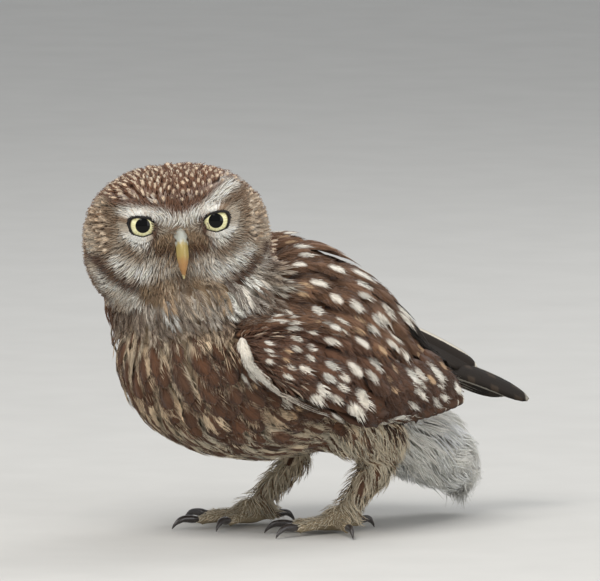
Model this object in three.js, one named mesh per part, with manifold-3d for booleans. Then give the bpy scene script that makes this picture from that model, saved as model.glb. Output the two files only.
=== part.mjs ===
// Little owl (Athene noctua) at life size, as a still model for a museum shelf.
// The bird stands low on a flat floor and leans forward, with its head turned to its left.
// Millimetres. The trunk faces -Y, the bird's left side is +X, up is +Z and the floor is z = 0.
import * as THREE from "three";
import { mergeVertices } from "three/addons/utils/BufferGeometryUtils.js";
import Module from "manifold-3d";

const wasm = await Module();
wasm.setup();

// The clearance that neighbouring pieces keep to each other.
const GAP = 0.4;
// How far a surface may move when it's made of fewer triangles.
const FINENESS = 0.12;

// Driving sizes of the bird, out to the tips of its coat.
const BODY = { breastFront: -88, rumpEnd: 54, halfWidth: 41, backHeight: 115.5, bellyHeight: 27 };
const HEAD = {
  centre: new THREE.Vector3(-0.7, -64, 113.8),
  halfWidth: 36,
  face: 27,
  nape: 35,
  crown: 30,
  chin: 29,
  squareness: 2.35,
  turn: 56,
  nod: 4,
  lean: -3.5,
};
const EYE = { spacing: 28, height: 11, depth: 15.8, radius: 7.2 };
const BILL = { length: 15, halfWidth: 2.8, base: 6.7, reach: 33.5 };
const WING = { wristSide: 37, wristForward: -63, wristHeight: 78, tipBack: 79.5, tipHeight: 54 };
const TAIL = { base: 44, tip: 102, halfWidth: 11.5, tipHeight: 42.8 };
// The left foot stands back by the stride and the right foot forward, as the bird shifts its weight.
const LEG = { side: 20, hip: -4, ankleBack: 18, ankleHeight: 30, footForward: -8, footHeight: 6.2, stride: 6 };
// Toe lengths without the claw, and the way that each one points, in degrees outwards from forward.
const TOES = {
  inner: { length: 17, heading: -26, claw: 10 },
  middle: { length: 22, heading: 8, claw: 10.5 },
  outer: { length: 17, heading: 64, claw: 9 },
  hind: { length: 10, heading: 188, claw: 8 },
};
const TOE_RADIUS = 3.3;
const TOE_CENTRE = 2.9;
const CLAW_RADIUS = 1.6;

// Colours of the named pieces, in sRGB.
const LOOKS = {
  plumageBrown: { color: 0x6b4f40, roughness: 0.85 },
  plumagePale: { color: 0xb5a48e, roughness: 0.85 },
  plumageWhite: { color: 0xe6e2d8, roughness: 0.9 },
  flightBrown: { color: 0x54402f, roughness: 0.7 },
  bill: { color: 0xb9b26a, roughness: 0.45 },
  eye: { color: 0xd9d36a, roughness: 0.1 },
  toe: { color: 0xa59a86, roughness: 0.8 },
  claw: { color: 0x2b2523, roughness: 0.4 },
};

// The bird's two sides, with the sign of x on each.
const SIDES = [["left", 1], ["right", -1]];

const point = (x, y, z) => new THREE.Vector3(x, y, z);
const radians = (degrees) => (degrees * Math.PI) / 180;

// The sizes at one place along a body, by a smooth curve through its stations that closes at both poles.
function sizesAlong(stations, key) {
  const turns = [0, ...stations.map((s) => Math.acos(1 - 2 * s.at)), Math.PI];
  const values = [0, ...stations.map((s) => s[key]), 0];
  const last = turns.length - 1;
  const slope = (i) => {
    const before = Math.max(i - 1, 0);
    const after = Math.min(i + 1, last);
    return (values[after] - values[before]) / (turns[after] - turns[before]);
  };
  return (turn) => {
    let i = 0;
    while (i < last - 1 && turn > turns[i + 1]) i += 1;
    const span = turns[i + 1] - turns[i];
    const t = THREE.MathUtils.clamp((turn - turns[i]) / span, 0, 1);
    const rise = t * t * (3 - 2 * t);
    const bend = t * (1 - t);
    return (
      values[i] * (1 - rise) +
      values[i + 1] * rise +
      span * bend * ((1 - t) * slope(i) - t * slope(i + 1))
    );
  };
}

// A closed body swept along a spine. A station gives its place on the spine, from 0 to 1, and its half sizes:
// wide to each side of the spine, up and down across it.
function sweptBody({ spine, across, stations, sides = 20, rings = 14, box = 2 }) {
  const curve = new THREE.CatmullRomCurve3(spine, false, "centripetal");
  const sizes = ["wide", "up", "down"].map((key) => sizesAlong(stations, key));
  const geometry = new THREE.SphereGeometry(1, sides, rings);
  const places = geometry.attributes.position;
  const p = new THREE.Vector3();
  const blunt = (c) => Math.sign(c) * Math.abs(c) ** (2 / box);
  for (let i = 0; i < places.count; i++) {
    p.fromBufferAttribute(places, i);
    const turn = Math.acos(THREE.MathUtils.clamp(p.y, -1, 1));
    const s = (1 - Math.cos(turn)) / 2;
    const along = curve.getTangentAt(s);
    const side = across.clone().addScaledVector(along, -across.dot(along)).normalize();
    const top = new THREE.Vector3().crossVectors(side, along);
    const round = Math.hypot(p.x, p.z) || 1;
    const [wide, up, down] = sizes.map((size) => Math.max(size(turn), 0));
    const sideways = blunt(p.x / round) * wide;
    const upward = blunt(-p.z / round) * (p.z < 0 ? up : down);
    const place = curve.getPointAt(s).addScaledVector(side, sideways).addScaledVector(top, upward);
    places.setXYZ(i, place.x, place.y, place.z);
  }
  return geometry;
}

// A geometry as a solid, if need be grown by a clearance all round so that it can cut its neighbours.
function solid(geometry, grow = 0) {
  const bare = geometry.clone();
  bare.deleteAttribute("uv");
  bare.deleteAttribute("normal");
  const merged = mergeVertices(bare, 1e-4);
  if (grow) {
    merged.computeVertexNormals();
    const { position, normal } = merged.attributes;
    for (let i = 0; i < position.count; i++) {
      position.setXYZ(
        i,
        position.getX(i) + grow * normal.getX(i),
        position.getY(i) + grow * normal.getY(i),
        position.getZ(i) + grow * normal.getZ(i),
      );
    }
  }
  const vertProperties = Float32Array.from(merged.attributes.position.array);
  const triVerts = Uint32Array.from(merged.index.array);
  return new wasm.Manifold(new wasm.Mesh({ numProp: 3, vertProperties, triVerts }));
}

// The largest of the bodies that cutting left.
function largest(cut) {
  return cut.decompose().reduce((a, b) => (a.volume() > b.volume() ? a : b));
}

// The space under the floor, which gives the toes their flats.
const underFloor = solid(new THREE.BoxGeometry(400, 400, 40).translate(0, 0, -20));

const group = new THREE.Group();
const cutters = [];

// Adds a piece, cut back from every piece added before it.
function addPiece(name, geometry, look, { onFloor = false } = {}) {
  let made = solid(geometry);
  for (const cutter of cutters) made = made.subtract(cutter);
  if (onFloor) made = made.subtract(underFloor);
  made = largest(made).simplify(FINENESS);
  cutters.push(solid(geometry, GAP + FINENESS).simplify(2 * FINENESS));
  const mesh = made.getMesh();
  const cut = new THREE.BufferGeometry();
  cut.setAttribute("position", new THREE.BufferAttribute(Float32Array.from(mesh.vertProperties), 3));
  cut.setIndex(new THREE.BufferAttribute(Uint32Array.from(mesh.triVerts), 1));
  cut.computeVertexNormals();
  const piece = new THREE.Mesh(cut, new THREE.MeshStandardMaterial(look));
  piece.name = name;
  group.add(piece);
}

// From the head's own frame, which faces -Y, to the turned, nodding and leaning head.
const headFrame = new THREE.Matrix4()
  .makeTranslation(HEAD.centre.x, HEAD.centre.y, HEAD.centre.z)
  .multiply(new THREE.Matrix4().makeRotationZ(radians(HEAD.turn)))
  .multiply(new THREE.Matrix4().makeRotationY(radians(HEAD.lean)))
  .multiply(new THREE.Matrix4().makeRotationX(radians(HEAD.nod)));
const onHead = (x, y, z) => point(x, y, z).applyMatrix4(headFrame);
const headAcross = point(1, 0, 0).transformDirection(headFrame);

// A soft rise that is 1 at the middle and fades within a reach.
const mound = (distance, reach) => Math.exp(-((distance / reach) ** 2));

// The head: a broad box with round edges, a flat face with a dish round each eye and a ridge over it.
function headGeometry() {
  const DISH = { depth: 4.5, reach: 12 };
  const BROW = { height: 2.6, reach: 4.5, inner: 4, outer: 30, low: 13, rise: 0.42 };
  const geometry = new THREE.SphereGeometry(1, 34, 21);
  const places = geometry.attributes.position;
  const d = new THREE.Vector3();
  const power = HEAD.squareness;
  for (let i = 0; i < places.count; i++) {
    d.fromBufferAttribute(places, i).normalize();
    const long = d.y < 0 ? HEAD.face : HEAD.nape;
    const tall = d.z > 0 ? HEAD.crown : HEAD.chin;
    const sum =
      Math.abs(d.x / HEAD.halfWidth) ** power +
      Math.abs(d.y / long) ** power +
      Math.abs(d.z / tall) ** power;
    d.multiplyScalar(sum ** (-1 / power));
    const facing = THREE.MathUtils.smoothstep(-d.y, 0, 14);
    const out = Math.abs(d.x);
    const fromEye = Math.hypot(out - EYE.spacing / 2, d.z - EYE.height + 1);
    const along = THREE.MathUtils.clamp(out, BROW.inner, BROW.outer);
    const browHeight = BROW.low + BROW.rise * (along - BROW.inner);
    const fromBrow = Math.hypot(out - along, d.z - browHeight);
    d.y += facing * DISH.depth * mound(fromEye, DISH.reach);
    d.y -= facing * BROW.height * mound(fromBrow, BROW.reach);
    places.setXYZ(i, d.x, d.y, d.z);
  }
  return geometry.applyMatrix4(headFrame);
}

function addEyes() {
  for (const [name, side] of SIDES) {
    const centre = onHead((side * EYE.spacing) / 2, -EYE.depth, EYE.height);
    const ball = new THREE.SphereGeometry(EYE.radius, 12, 9);
    addPiece("eye_" + name, ball.translate(centre.x, centre.y, centre.z), LOOKS.eye);
  }
}

// The bill: a short hook that leaves the face high up and points down, and the lower half behind it.
function addBill() {
  const upper = sweptBody({
    spine: [
      onHead(0, -18, BILL.base + 0.5),
      onHead(0, -26, BILL.base - 0.5),
      onHead(0, -30.4, BILL.base - 4),
      onHead(0, -BILL.reach + 1.6, BILL.base - 10),
      onHead(0, -BILL.reach + 2, BILL.base - BILL.length),
    ],
    across: headAcross,
    stations: [
      { at: 0.15, wide: 3, up: 3, down: 3.6 },
      { at: 0.45, wide: BILL.halfWidth, up: 2.2, down: 4 },
      { at: 0.72, wide: 2.5, up: 1.7, down: 3.1 },
      { at: 0.92, wide: 1, up: 0.9, down: 1.3 },
    ],
    sides: 12,
    rings: 10,
  });
  addPiece("bill_upper", upper, LOOKS.bill);
  const lower = sweptBody({
    spine: [
      onHead(0, -20, BILL.base - 8.7),
      onHead(0, -26, BILL.base - 10.2),
      onHead(0, -28.8, BILL.base - 13.5),
    ],
    across: headAcross,
    stations: [
      { at: 0.3, wide: 2.8, up: 2, down: 2 },
      { at: 0.75, wide: 2.1, up: 1.5, down: 1.6 },
    ],
    sides: 10,
    rings: 6,
  });
  addPiece("bill_lower", lower, LOOKS.bill);
}

function addHead() {
  addPiece("head", headGeometry(), LOOKS.plumagePale);
}

function addNeck() {
  const neck = sweptBody({
    spine: [point(-7, -89, 90), point(-3, -56, 95), point(0, -22, 96)],
    across: point(1, 0, 0),
    stations: [
      { at: 0.12, wide: 25, up: 14, down: 18 },
      { at: 0.45, wide: 36.5, up: 21, down: 24 },
      { at: 0.85, wide: 30, up: 17, down: 19 },
    ],
    sides: 18,
    rings: 9,
  });
  addPiece("neck", neck, LOOKS.plumagePale);
}

// A folded wing: coverts and secondaries as one curved slab that hugs the flank, and the primaries behind it.
function addWing(name, side) {
  const lie = point(-0.36 * side, 0, 1).normalize();
  const slab = sweptBody({
    spine: [
      point(side * WING.wristSide, WING.wristForward - 3, WING.wristHeight + 2),
      point(side * (WING.wristSide + 4), -44, 71),
      point(side * (WING.wristSide + 4), -16, 66),
      point(side * (WING.wristSide - 2), 14, 62.5),
      point(side * 25, 38, 58),
      point(side * 16, 58.5, 49.5),
    ],
    across: lie,
    stations: [
      { at: 0.05, wide: 8, up: 4.5, down: 4.5 },
      { at: 0.22, wide: 16, up: 6, down: 6 },
      { at: 0.42, wide: 22, up: 6.5, down: 6.5 },
      { at: 0.64, wide: 20, up: 6, down: 6 },
      { at: 0.82, wide: 13, up: 4.5, down: 4.5 },
      { at: 0.94, wide: 6.5, up: 3, down: 3 },
    ],
    sides: 13,
    rings: 15,
  });
  addPiece("wing_" + name, slab, LOOKS.plumageBrown);
  const primaries = sweptBody({
    spine: [
      point(side * 9.5, 38, 71),
      point(side * 8.2, 50, 66.5),
      point(side * 7, 66, 58.5),
      point(side * 3.2, WING.tipBack, WING.tipHeight),
    ],
    across: point(side * 0.76, 0, -0.65),
    stations: [
      { at: 0.15, wide: 9, up: 2, down: 2 },
      { at: 0.5, wide: 8.5, up: 1.8, down: 1.8 },
      { at: 0.85, wide: 4.2, up: 1.2, down: 1.2 },
    ],
    sides: 10,
    rings: 10,
  });
  addPiece("primaries_" + name, primaries, LOOKS.flightBrown);
}

function addTail() {
  const tail = sweptBody({
    spine: [
      point(0, TAIL.base, 63),
      point(0, 70, 55.8),
      point(0, 88, 49.3),
      point(0, TAIL.tip, TAIL.tipHeight),
    ],
    across: point(1, 0, 0),
    stations: [
      { at: 0.15, wide: 10.5, up: 2.6, down: 3.4 },
      { at: 0.5, wide: TAIL.halfWidth, up: 2, down: 3 },
      { at: 0.85, wide: TAIL.halfWidth - 1.5, up: 1.4, down: 1.8 },
    ],
    sides: 16,
    rings: 10,
  });
  addPiece("tail", tail, LOOKS.flightBrown);
}

function addUndertailCoverts() {
  const puff = sweptBody({
    spine: [point(0, 30, 42), point(0, 52, 31), point(0, 75, 15)],
    across: point(1, 0, 0),
    stations: [
      { at: 0.2, wide: 16, up: 14, down: 13 },
      { at: 0.55, wide: 19, up: 16, down: 16 },
      { at: 0.85, wide: 13, up: 11, down: 10 },
    ],
    sides: 16,
    rings: 9,
  });
  addPiece("undertail_coverts", puff, LOOKS.plumageWhite);
}

// The trunk, from the puffed breast to the rump, in rings square to the bird's length.
function addTrunk() {
  const length = BODY.rumpEnd - BODY.breastFront;
  const SPINE_HEIGHT = 77;
  const END_HEIGHT = 60;
  const ring = (y, wide, top, bottom) => {
    const at = (y - BODY.breastFront) / length;
    const middle = SPINE_HEIGHT + (END_HEIGHT - SPINE_HEIGHT) * at;
    return { at, wide, up: top - middle, down: middle - bottom };
  };
  const trunk = sweptBody({
    spine: [point(0, BODY.breastFront, SPINE_HEIGHT), point(0, BODY.rumpEnd, END_HEIGHT)],
    across: point(1, 0, 0),
    stations: [
      ring(-81, 20, 94, 56),
      ring(-66, 32, 104, 40),
      ring(-42, 39.5, 113, BODY.bellyHeight + 2),
      ring(-14, BODY.halfWidth, BODY.backHeight, BODY.bellyHeight),
      ring(15, 37.5, 100, 31),
      ring(36, 27, 82, 39),
      ring(47, 16, 69, 47),
    ],
    sides: 22,
    rings: 17,
    box: 2.15,
  });
  addPiece("trunk", trunk, LOOKS.plumagePale);
}

function addLeg(name, side) {
  const x = side * LEG.side;
  const ankle = LEG.ankleBack + side * LEG.stride * 0.6;
  const foot = LEG.footForward + side * LEG.stride;
  const tarsus = sweptBody({
    spine: [
      point(x + side, ankle - 2, LEG.ankleHeight - 4),
      point(x, (ankle + foot) / 2 + 1, 18),
      point(x, foot + 2, LEG.footHeight + 1.5),
    ],
    across: point(1, 0, 0),
    stations: [
      { at: 0.12, wide: 5.6, up: 5.6, down: 5.6 },
      { at: 0.5, wide: 5.6, up: 5.4, down: 5.4 },
      { at: 0.9, wide: 4.8, up: 4.6, down: 4.6 },
    ],
    sides: 10,
    rings: 7,
  });
  const thigh = sweptBody({
    spine: [
      point(x - side * 2, LEG.hip - 6, 50),
      point(x + side * 2, 10, 41),
      point(x + side * 1.5, ankle + 5, LEG.ankleHeight - 3),
    ],
    across: point(1, 0, 0),
    stations: [
      { at: 0.2, wide: 15, up: 14, down: 16 },
      { at: 0.6, wide: 13, up: 11, down: 13 },
      { at: 0.88, wide: 8.5, up: 7.5, down: 8 },
    ],
    sides: 14,
    rings: 9,
  });
  const pad = new THREE.SphereGeometry(1, 11, 7).scale(6.4, 7, 6).translate(x, foot, 5);
  addPiece("foot_" + name, pad, LOOKS.toe, { onFloor: true });
  addPiece("thigh_" + name, thigh, LOOKS.plumagePale);
  addPiece("tarsus_" + name, tarsus, LOOKS.plumagePale);
}

// A toe lies along the floor on a flat, and its claw arches from the toe's end down to the floor.
function addToe(name, side, key) {
  const { length, heading, claw } = TOES[key];
  const ahead = point(side * Math.sin(radians(heading)), -Math.cos(radians(heading)), 0);
  const start = point(side * LEG.side, LEG.footForward + side * LEG.stride, 0);
  const at = (distance, height) => start.clone().addScaledVector(ahead, distance).setZ(height);
  const across = point(-ahead.y, ahead.x, 0);
  const end = length + 4;
  const flesh = sweptBody({
    spine: [at(1, TOE_CENTRE + 0.6), at(end * 0.55, TOE_CENTRE + 0.5), at(end, TOE_CENTRE - 0.2)],
    across,
    stations: [
      { at: 0.15, wide: TOE_RADIUS, up: TOE_RADIUS, down: TOE_RADIUS },
      { at: 0.5, wide: TOE_RADIUS * 0.92, up: TOE_RADIUS * 0.85, down: TOE_RADIUS },
      { at: 0.85, wide: TOE_RADIUS * 0.86, up: TOE_RADIUS * 0.8, down: TOE_RADIUS * 0.86 },
    ],
    sides: 8,
    rings: 7,
  });
  addPiece(`toe_${name}_${key}`, flesh, LOOKS.toe, { onFloor: true });
  const hook = sweptBody({
    spine: [
      at(end - 3, TOE_CENTRE + 0.6),
      at(end + claw * 0.3, TOE_CENTRE + 1),
      at(end + claw * 0.62, TOE_CENTRE - 0.6),
      at(end + claw * 0.78, 0.35),
    ],
    across,
    stations: [
      { at: 0.15, wide: CLAW_RADIUS, up: CLAW_RADIUS, down: CLAW_RADIUS },
      { at: 0.5, wide: CLAW_RADIUS * 0.8, up: CLAW_RADIUS * 0.85, down: CLAW_RADIUS * 0.85 },
      { at: 0.85, wide: 0.6, up: 0.6, down: 0.6 },
    ],
    sides: 6,
    rings: 7,
  });
  addPiece(`claw_${name}_${key}`, hook, LOOKS.claw, { onFloor: true });
}

addEyes();
addHead();
addBill();
addNeck();
addTrunk();
addTail();
addUndertailCoverts();
for (const [name, side] of SIDES) addWing(name, side);
for (const [name, side] of SIDES) {
  addLeg(name, side);
  for (const key of Object.keys(TOES)) addToe(name, side, key);
}

// The origin is on the floor, under the middle of the whole bird.
const bounds = new THREE.Box3().setFromObject(group);
const middle = bounds.getCenter(new THREE.Vector3());
for (const piece of group.children) piece.geometry.translate(-middle.x, -middle.y, 0);

export default group;
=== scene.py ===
"""A little owl (Athene noctua) at life size, on a plain floor, with its face turned to its left.

The script lays the owl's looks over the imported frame: one skin under the coat, the coat's vanes and barbs as
meshes, the flight feathers, the eyes and their lids, the bill, the claws, and the stage with its lights.
Lengths are millimetres in the frame's own axes until a mesh is made, when they become metres.
"""

import functools
import math
from collections import namedtuple

import bmesh
import bpy
import numpy as np
from bpy.props import FloatProperty, FloatVectorProperty, IntProperty, PointerProperty
from mathutils import Matrix, Vector
from mathutils.bvhtree import BVHTree
from mathutils.kdtree import KDTree


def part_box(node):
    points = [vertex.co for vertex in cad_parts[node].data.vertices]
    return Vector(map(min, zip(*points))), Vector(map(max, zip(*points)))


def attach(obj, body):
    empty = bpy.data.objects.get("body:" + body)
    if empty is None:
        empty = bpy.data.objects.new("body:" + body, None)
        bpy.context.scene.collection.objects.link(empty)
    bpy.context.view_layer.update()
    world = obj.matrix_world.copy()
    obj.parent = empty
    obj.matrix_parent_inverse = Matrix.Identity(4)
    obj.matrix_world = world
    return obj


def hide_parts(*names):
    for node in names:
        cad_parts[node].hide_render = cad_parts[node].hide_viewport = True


bl_info = {
    "name": "Little owl",
    "version": (1, 0, 0),
    "blender": (4, 5, 0),
    "location": "3D View > Sidebar > Owl",
    "description": "Makes a life-size little owl with its coat of feathers round a packed frame",
    "category": "Add Mesh",
}

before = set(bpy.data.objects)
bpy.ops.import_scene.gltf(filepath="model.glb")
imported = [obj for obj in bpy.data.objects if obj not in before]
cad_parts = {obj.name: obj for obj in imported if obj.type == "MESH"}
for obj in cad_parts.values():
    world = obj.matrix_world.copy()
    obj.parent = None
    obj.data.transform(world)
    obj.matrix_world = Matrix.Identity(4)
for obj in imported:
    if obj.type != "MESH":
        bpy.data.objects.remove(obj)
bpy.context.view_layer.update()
METRES = 0.001
SIDES = (("left", 1), ("right", -1))
TOES = ("inner", "middle", "outer", "hind")
MOST_TRIANGLES = 200_000
# Width of a single barb's patch on the bake map.
BARB_PATCH = 0.003

# Sizes of the head in its own frame, which faces -Y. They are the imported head's.
HEAD_PLACE = (-0.7, -64.0, 113.8)
HEAD_TURN, HEAD_LEAN, HEAD_NOD = 56.0, -3.5, 4.0
EYE_SIDE, EYE_DEPTH, EYE_HEIGHT, EYE_RADIUS = 14.0, 15.8, 11.0, 7.2
BILL_BASE, BILL_REACH, BILL_LENGTH = 6.7, 33.5, 15.0


def linear(code):
    """An sRGB hex colour as linear red, green and blue."""
    parts = [int(code[i : i + 2], 16) / 255 for i in (1, 3, 5)]
    return tuple(c / 12.92 if c <= 0.04045 else ((c + 0.055) / 1.055) ** 2.4 for c in parts)


def swatch(name, code, description):
    """A colour that a user may change."""
    return FloatVectorProperty(
        name=name,
        description=description,
        subtype="COLOR",
        size=3,
        min=0.0,
        max=1.0,
        default=linear(code),
    )


def length(name, metres, description):
    """A length that a user may change."""
    return FloatProperty(
        name=name, description=description, unit="LENGTH", default=metres, min=0.0, precision=4
    )


class OwlColours(bpy.types.PropertyGroup):
    """Colours of the owl's plumage and bare parts."""

    crown_brown: swatch("Crown brown", "#7d5943", "Ground of the feathers on the crown")
    crown_cream: swatch("Crown cream", "#dac5ab", "Drops on the feathers of the crown")
    disc_grey: swatch("Disc grey", "#cec2b0", "Ground of the facial discs")
    disc_brown: swatch("Disc brown", "#82664c", "Streaks of the facial discs and the lores")
    brow_white: swatch("Brow white", "#fffaf0", "Brows and cheek bands")
    collar_brown: swatch("Collar brown", "#5d4233", "Dark ruff under the discs and the chin")
    throat_tan: swatch("Throat tan", "#b39776", "Warm edges of the throat's feathers")
    breast_cream: swatch("Breast cream", "#dec7a8", "Pale edges of the breast's feathers")
    breast_brown: swatch("Breast brown", "#604433", "Broad streaks of the breast")
    flank_buff: swatch("Flank buff", "#e2d4ba", "Loose feathers of the flanks and the legs")
    back_brown: swatch("Back brown", "#745641", "Mantle and shoulders")
    wing_brown: swatch("Wing brown", "#654837", "Folded wing")
    spot_white: swatch("Spot white", "#e6dfd2", "Spots of the back and the wings")
    spot_buff: swatch("Spot buff", "#c3a482", "Faint spots between the white ones")
    # Flight brown is partly the flight feathers' own dark brown and partly painted shade: the folded wing tips
    # and the tail are painted as dark as they look in shadow.
    flight_brown: swatch("Flight brown", "#2a241f", "Flight and tail feathers")
    flight_buff: swatch("Flight buff", "#453a30", "Faint bars of the flight and tail feathers")
    flight_rim: swatch("Flight rim", "#e4dccb", "Pale edges of the flight and tail feathers")
    down_white: swatch("Down white", "#fffcf4", "Fluff under the tail")
    iris_yellow: swatch("Iris yellow", "#f6f3c6", "Iris")
    bill_yellow: swatch("Bill yellow", "#d0c690", "Ridge of the bill")
    bill_orange: swatch("Bill orange", "#ab7d48", "Lower sides of the bill")
    cere_grey: swatch("Cere grey", "#a9aaa0", "Soft skin at the bill's base")
    claw_black: swatch("Claw black", "#2a2422", "Claws")
    toe_skin: swatch("Toe skin", "#b3a488", "Bare skin under the toes")


class OwlCoat(bpy.types.PropertyGroup):
    """Depths and spacings of the coat."""

    face_depth: length("Face depth", 0.0018, "Coat over the skin of the face")
    crown_depth: length("Crown depth", 0.0026, "Coat over the skin of the crown")
    neck_depth: length("Neck depth", 0.0040, "Coat over the skin of the neck")
    breast_depth: length("Breast depth", 0.0050, "Coat over the skin of the breast and belly")
    back_depth: length("Back depth", 0.0036, "Coat over the skin of the back")
    wing_depth: length("Wing depth", 0.0022, "Coverts over the skin of the wing")
    down_depth: length("Down depth", 0.0070, "Fluff over the skin under the tail")
    thigh_depth: length("Thigh depth", 0.0036, "Coat over the skin of the thighs")
    shank_depth: length("Shank depth", 0.0018, "Coat over the skin of the shanks")
    toe_depth: length("Toe depth", 0.0006, "Bristles over the skin of the toes")
    seed: IntProperty(name="Seed", description="Start of every random draw", default=11, min=0)


class OwlStage(bpy.types.PropertyGroup):
    """The camera's place, and the floor."""

    azimuth: FloatProperty(
        name="Azimuth", description="Camera's turn about the owl", subtype="ANGLE", default=math.radians(52)
    )
    elevation: FloatProperty(
        name="Elevation", description="Camera's height as an angle", subtype="ANGLE", default=math.radians(6)
    )
    distance: length("Distance", 9.0, "From the camera to the owl")
    width_seen: length("Width seen", 0.2308, "Width of the picture at the owl")
    floor_radius: length("Floor radius", 60.0, "Radius of the floor")


def colour(name):
    """A colour of the owl as a linear array."""
    return np.array(getattr(bpy.context.scene.owl_colours, name))


def coat(name):
    """A depth of the coat in millimetres."""
    return getattr(bpy.context.scene.owl_coat, name) / METRES


def draws(offset):
    """Random draws of their own for each piece, the same on each run."""
    return np.random.default_rng(bpy.context.scene.owl_coat.seed + offset)


# Small helpers on arrays.


def unit(vectors):
    """Vectors made one long."""
    return vectors / np.maximum(np.linalg.norm(vectors, axis=-1, keepdims=True), 1e-9)


def rise(values, low, high):
    """A smooth step from 0 at low to 1 at high."""
    t = np.clip((values - low) / (high - low), 0, 1)
    return t * t * (3 - 2 * t)


def near(distance, reach):
    """1 at no distance, fading within a reach."""
    return np.exp(-((distance / reach) ** 2))


def blend(a, b, amount):
    """From a to b by an amount for each row."""
    amount = np.asarray(amount)[..., None]
    return a * (1 - amount) + b * amount


def rows_of(*columns):
    """Columns side by side, as one row for each place or feather."""
    return np.stack(np.broadcast_arrays(*columns), axis=-1).astype(float)


def turn_matrix(axis, degrees):
    """A turn about an axis as an array."""
    return np.array(Matrix.Rotation(math.radians(degrees), 3, axis))


HEAD_AXES = turn_matrix("Z", HEAD_TURN) @ turn_matrix("Y", HEAD_LEAN) @ turn_matrix("X", HEAD_NOD)


def box_middle(node):
    """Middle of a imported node's box."""
    low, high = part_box(node)
    return np.array((low + high) / 2) / METRES


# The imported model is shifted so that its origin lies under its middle. The left eye gives that shift.
LEFT_EYE = np.array([EYE_SIDE, -EYE_DEPTH, EYE_HEIGHT])
HEAD_CENTRE = box_middle("eye_left") - HEAD_AXES @ LEFT_EYE
SHIFT = HEAD_CENTRE - np.array(HEAD_PLACE)


def on_head(places):
    """From the head's frame to the bird's."""
    return np.asarray(places, float) @ HEAD_AXES.T + HEAD_CENTRE


def in_head(places):
    """From the bird's frame to the head's."""
    return (places - HEAD_CENTRE) @ HEAD_AXES


def smooth_curve(points, count):
    """A smooth curve through a few points, as evenly spaced places and their directions."""
    points = np.asarray(points, float)
    padded = np.vstack([2 * points[0] - points[1], points, 2 * points[-1] - points[-2]])
    spans = len(points) - 1
    fine = np.linspace(0, spans, spans * 24 + 1)
    k = np.minimum(fine.astype(int), spans - 1)
    t = (fine - k)[:, None]
    a, b, c, d = padded[k], padded[k + 1], padded[k + 2], padded[k + 3]
    dense = 0.5 * (2 * b + (c - a) * t + (2 * a - 5 * b + 4 * c - d) * t**2 + (3 * b - a - 3 * c + d) * t**3)
    run = np.concatenate([[0], np.cumsum(np.linalg.norm(np.diff(dense, axis=0), axis=1))])
    even = np.linspace(0, run[-1], count)
    places = np.stack([np.interp(even, run, dense[:, i]) for i in range(3)], axis=1)
    return places, unit(np.gradient(places, axis=0))


# Meshes and pieces.


def new_mesh(name, places, triangles):
    """A mesh of triangles, its places given in millimetres."""
    mesh = bpy.data.meshes.new(name)
    mesh.vertices.add(len(places))
    mesh.vertices.foreach_set("co", (places * METRES).astype(np.float32).ravel())
    mesh.loops.add(3 * len(triangles))
    mesh.loops.foreach_set("vertex_index", triangles.astype(np.int32).ravel())
    mesh.polygons.add(len(triangles))
    mesh.polygons.foreach_set("loop_start", np.arange(0, 3 * len(triangles), 3, dtype=np.int32))
    mesh.update(calc_edges=True)
    mesh.shade_smooth()
    return mesh


def store(mesh, name, values):
    """An attribute on the mesh's vertices: a colour, a vector or a number."""
    kind, field = "FLOAT_VECTOR", "vector"
    if name in ("ground", "mark"):
        values = np.concatenate([np.clip(values, 0, 1), np.ones((len(values), 1))], axis=1)
        kind, field = "FLOAT_COLOR", "color"
    elif values.ndim == 1:
        kind, field = "FLOAT", "value"
    attribute = mesh.attributes.new(name, kind, "POINT")
    attribute.data.foreach_set(field, values.astype(np.float32).ravel())


def store_bake_map(mesh, places):
    """The UV map that the finished colours are laid on, from one place for each vertex."""
    corners = np.empty(len(mesh.loops), np.int32)
    mesh.loops.foreach_get("vertex_index", corners)
    layer = mesh.uv_layers.new(name="OFBake")
    layer.data.foreach_set("uv", places[corners].astype(np.float32).ravel())


def tube_triangles(rings, sides, closed):
    """Triangles between rings of corners. The last ring joins the first, or else each end joins a point."""
    triangles = []
    for i in range(rings if closed else rings - 1):
        after = (i + 1) % rings * sides
        for j in range(sides):
            k = (j + 1) % sides
            a, b = i * sides + j, i * sides + k
            triangles += [(a, b, after + k), (a, after + k, after + j)]
    if not closed:
        first, end = rings * sides, (rings - 1) * sides
        for j in range(sides):
            k = (j + 1) % sides
            triangles += [(first, k, j), (first + 1, end + j, end + k)]
    return np.array(triangles)


def add_object(name, data):
    """An object in the scene."""
    made = bpy.data.objects.new(name, data)
    bpy.context.scene.collection.objects.link(made)
    return made


def add_piece(name, mesh, material, replaced=()):
    """A finished piece, riding on the still bird's one body."""
    piece = add_object(name, mesh)
    mesh.materials.clear()
    mesh.materials.append(material)
    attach(piece, "root")
    if replaced:
        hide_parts(*replaced)
    return piece


def merged_nodes(names, grow):
    """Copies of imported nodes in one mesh, each with its doubles merged and grown by a clearance."""
    made = bmesh.new()
    for name in names:
        part = bmesh.new()
        part.from_mesh(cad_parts[name].data)
        bmesh.ops.remove_doubles(part, verts=part.verts, dist=1e-6)
        part.normal_update()
        for vertex in part.verts:
            vertex.co += vertex.normal * grow * METRES
        copy = bpy.data.meshes.new("copy")
        part.to_mesh(copy)
        part.free()
        made.from_mesh(copy)
        bpy.data.meshes.remove(copy)
    return made


def mesh_arrays(mesh):
    """A triangle mesh's places in millimetres, and its triangles."""
    places = np.empty(3 * len(mesh.vertices), np.float32)
    mesh.vertices.foreach_get("co", places)
    triangles = np.empty(3 * len(mesh.polygons), np.int32)
    mesh.loops.foreach_get("vertex_index", triangles)
    return places.reshape(-1, 3).astype(float) / METRES, triangles.reshape(-1, 3)


# The skin: the flesh nodes as one smooth surface, inside them by the coat's depth.

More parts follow.
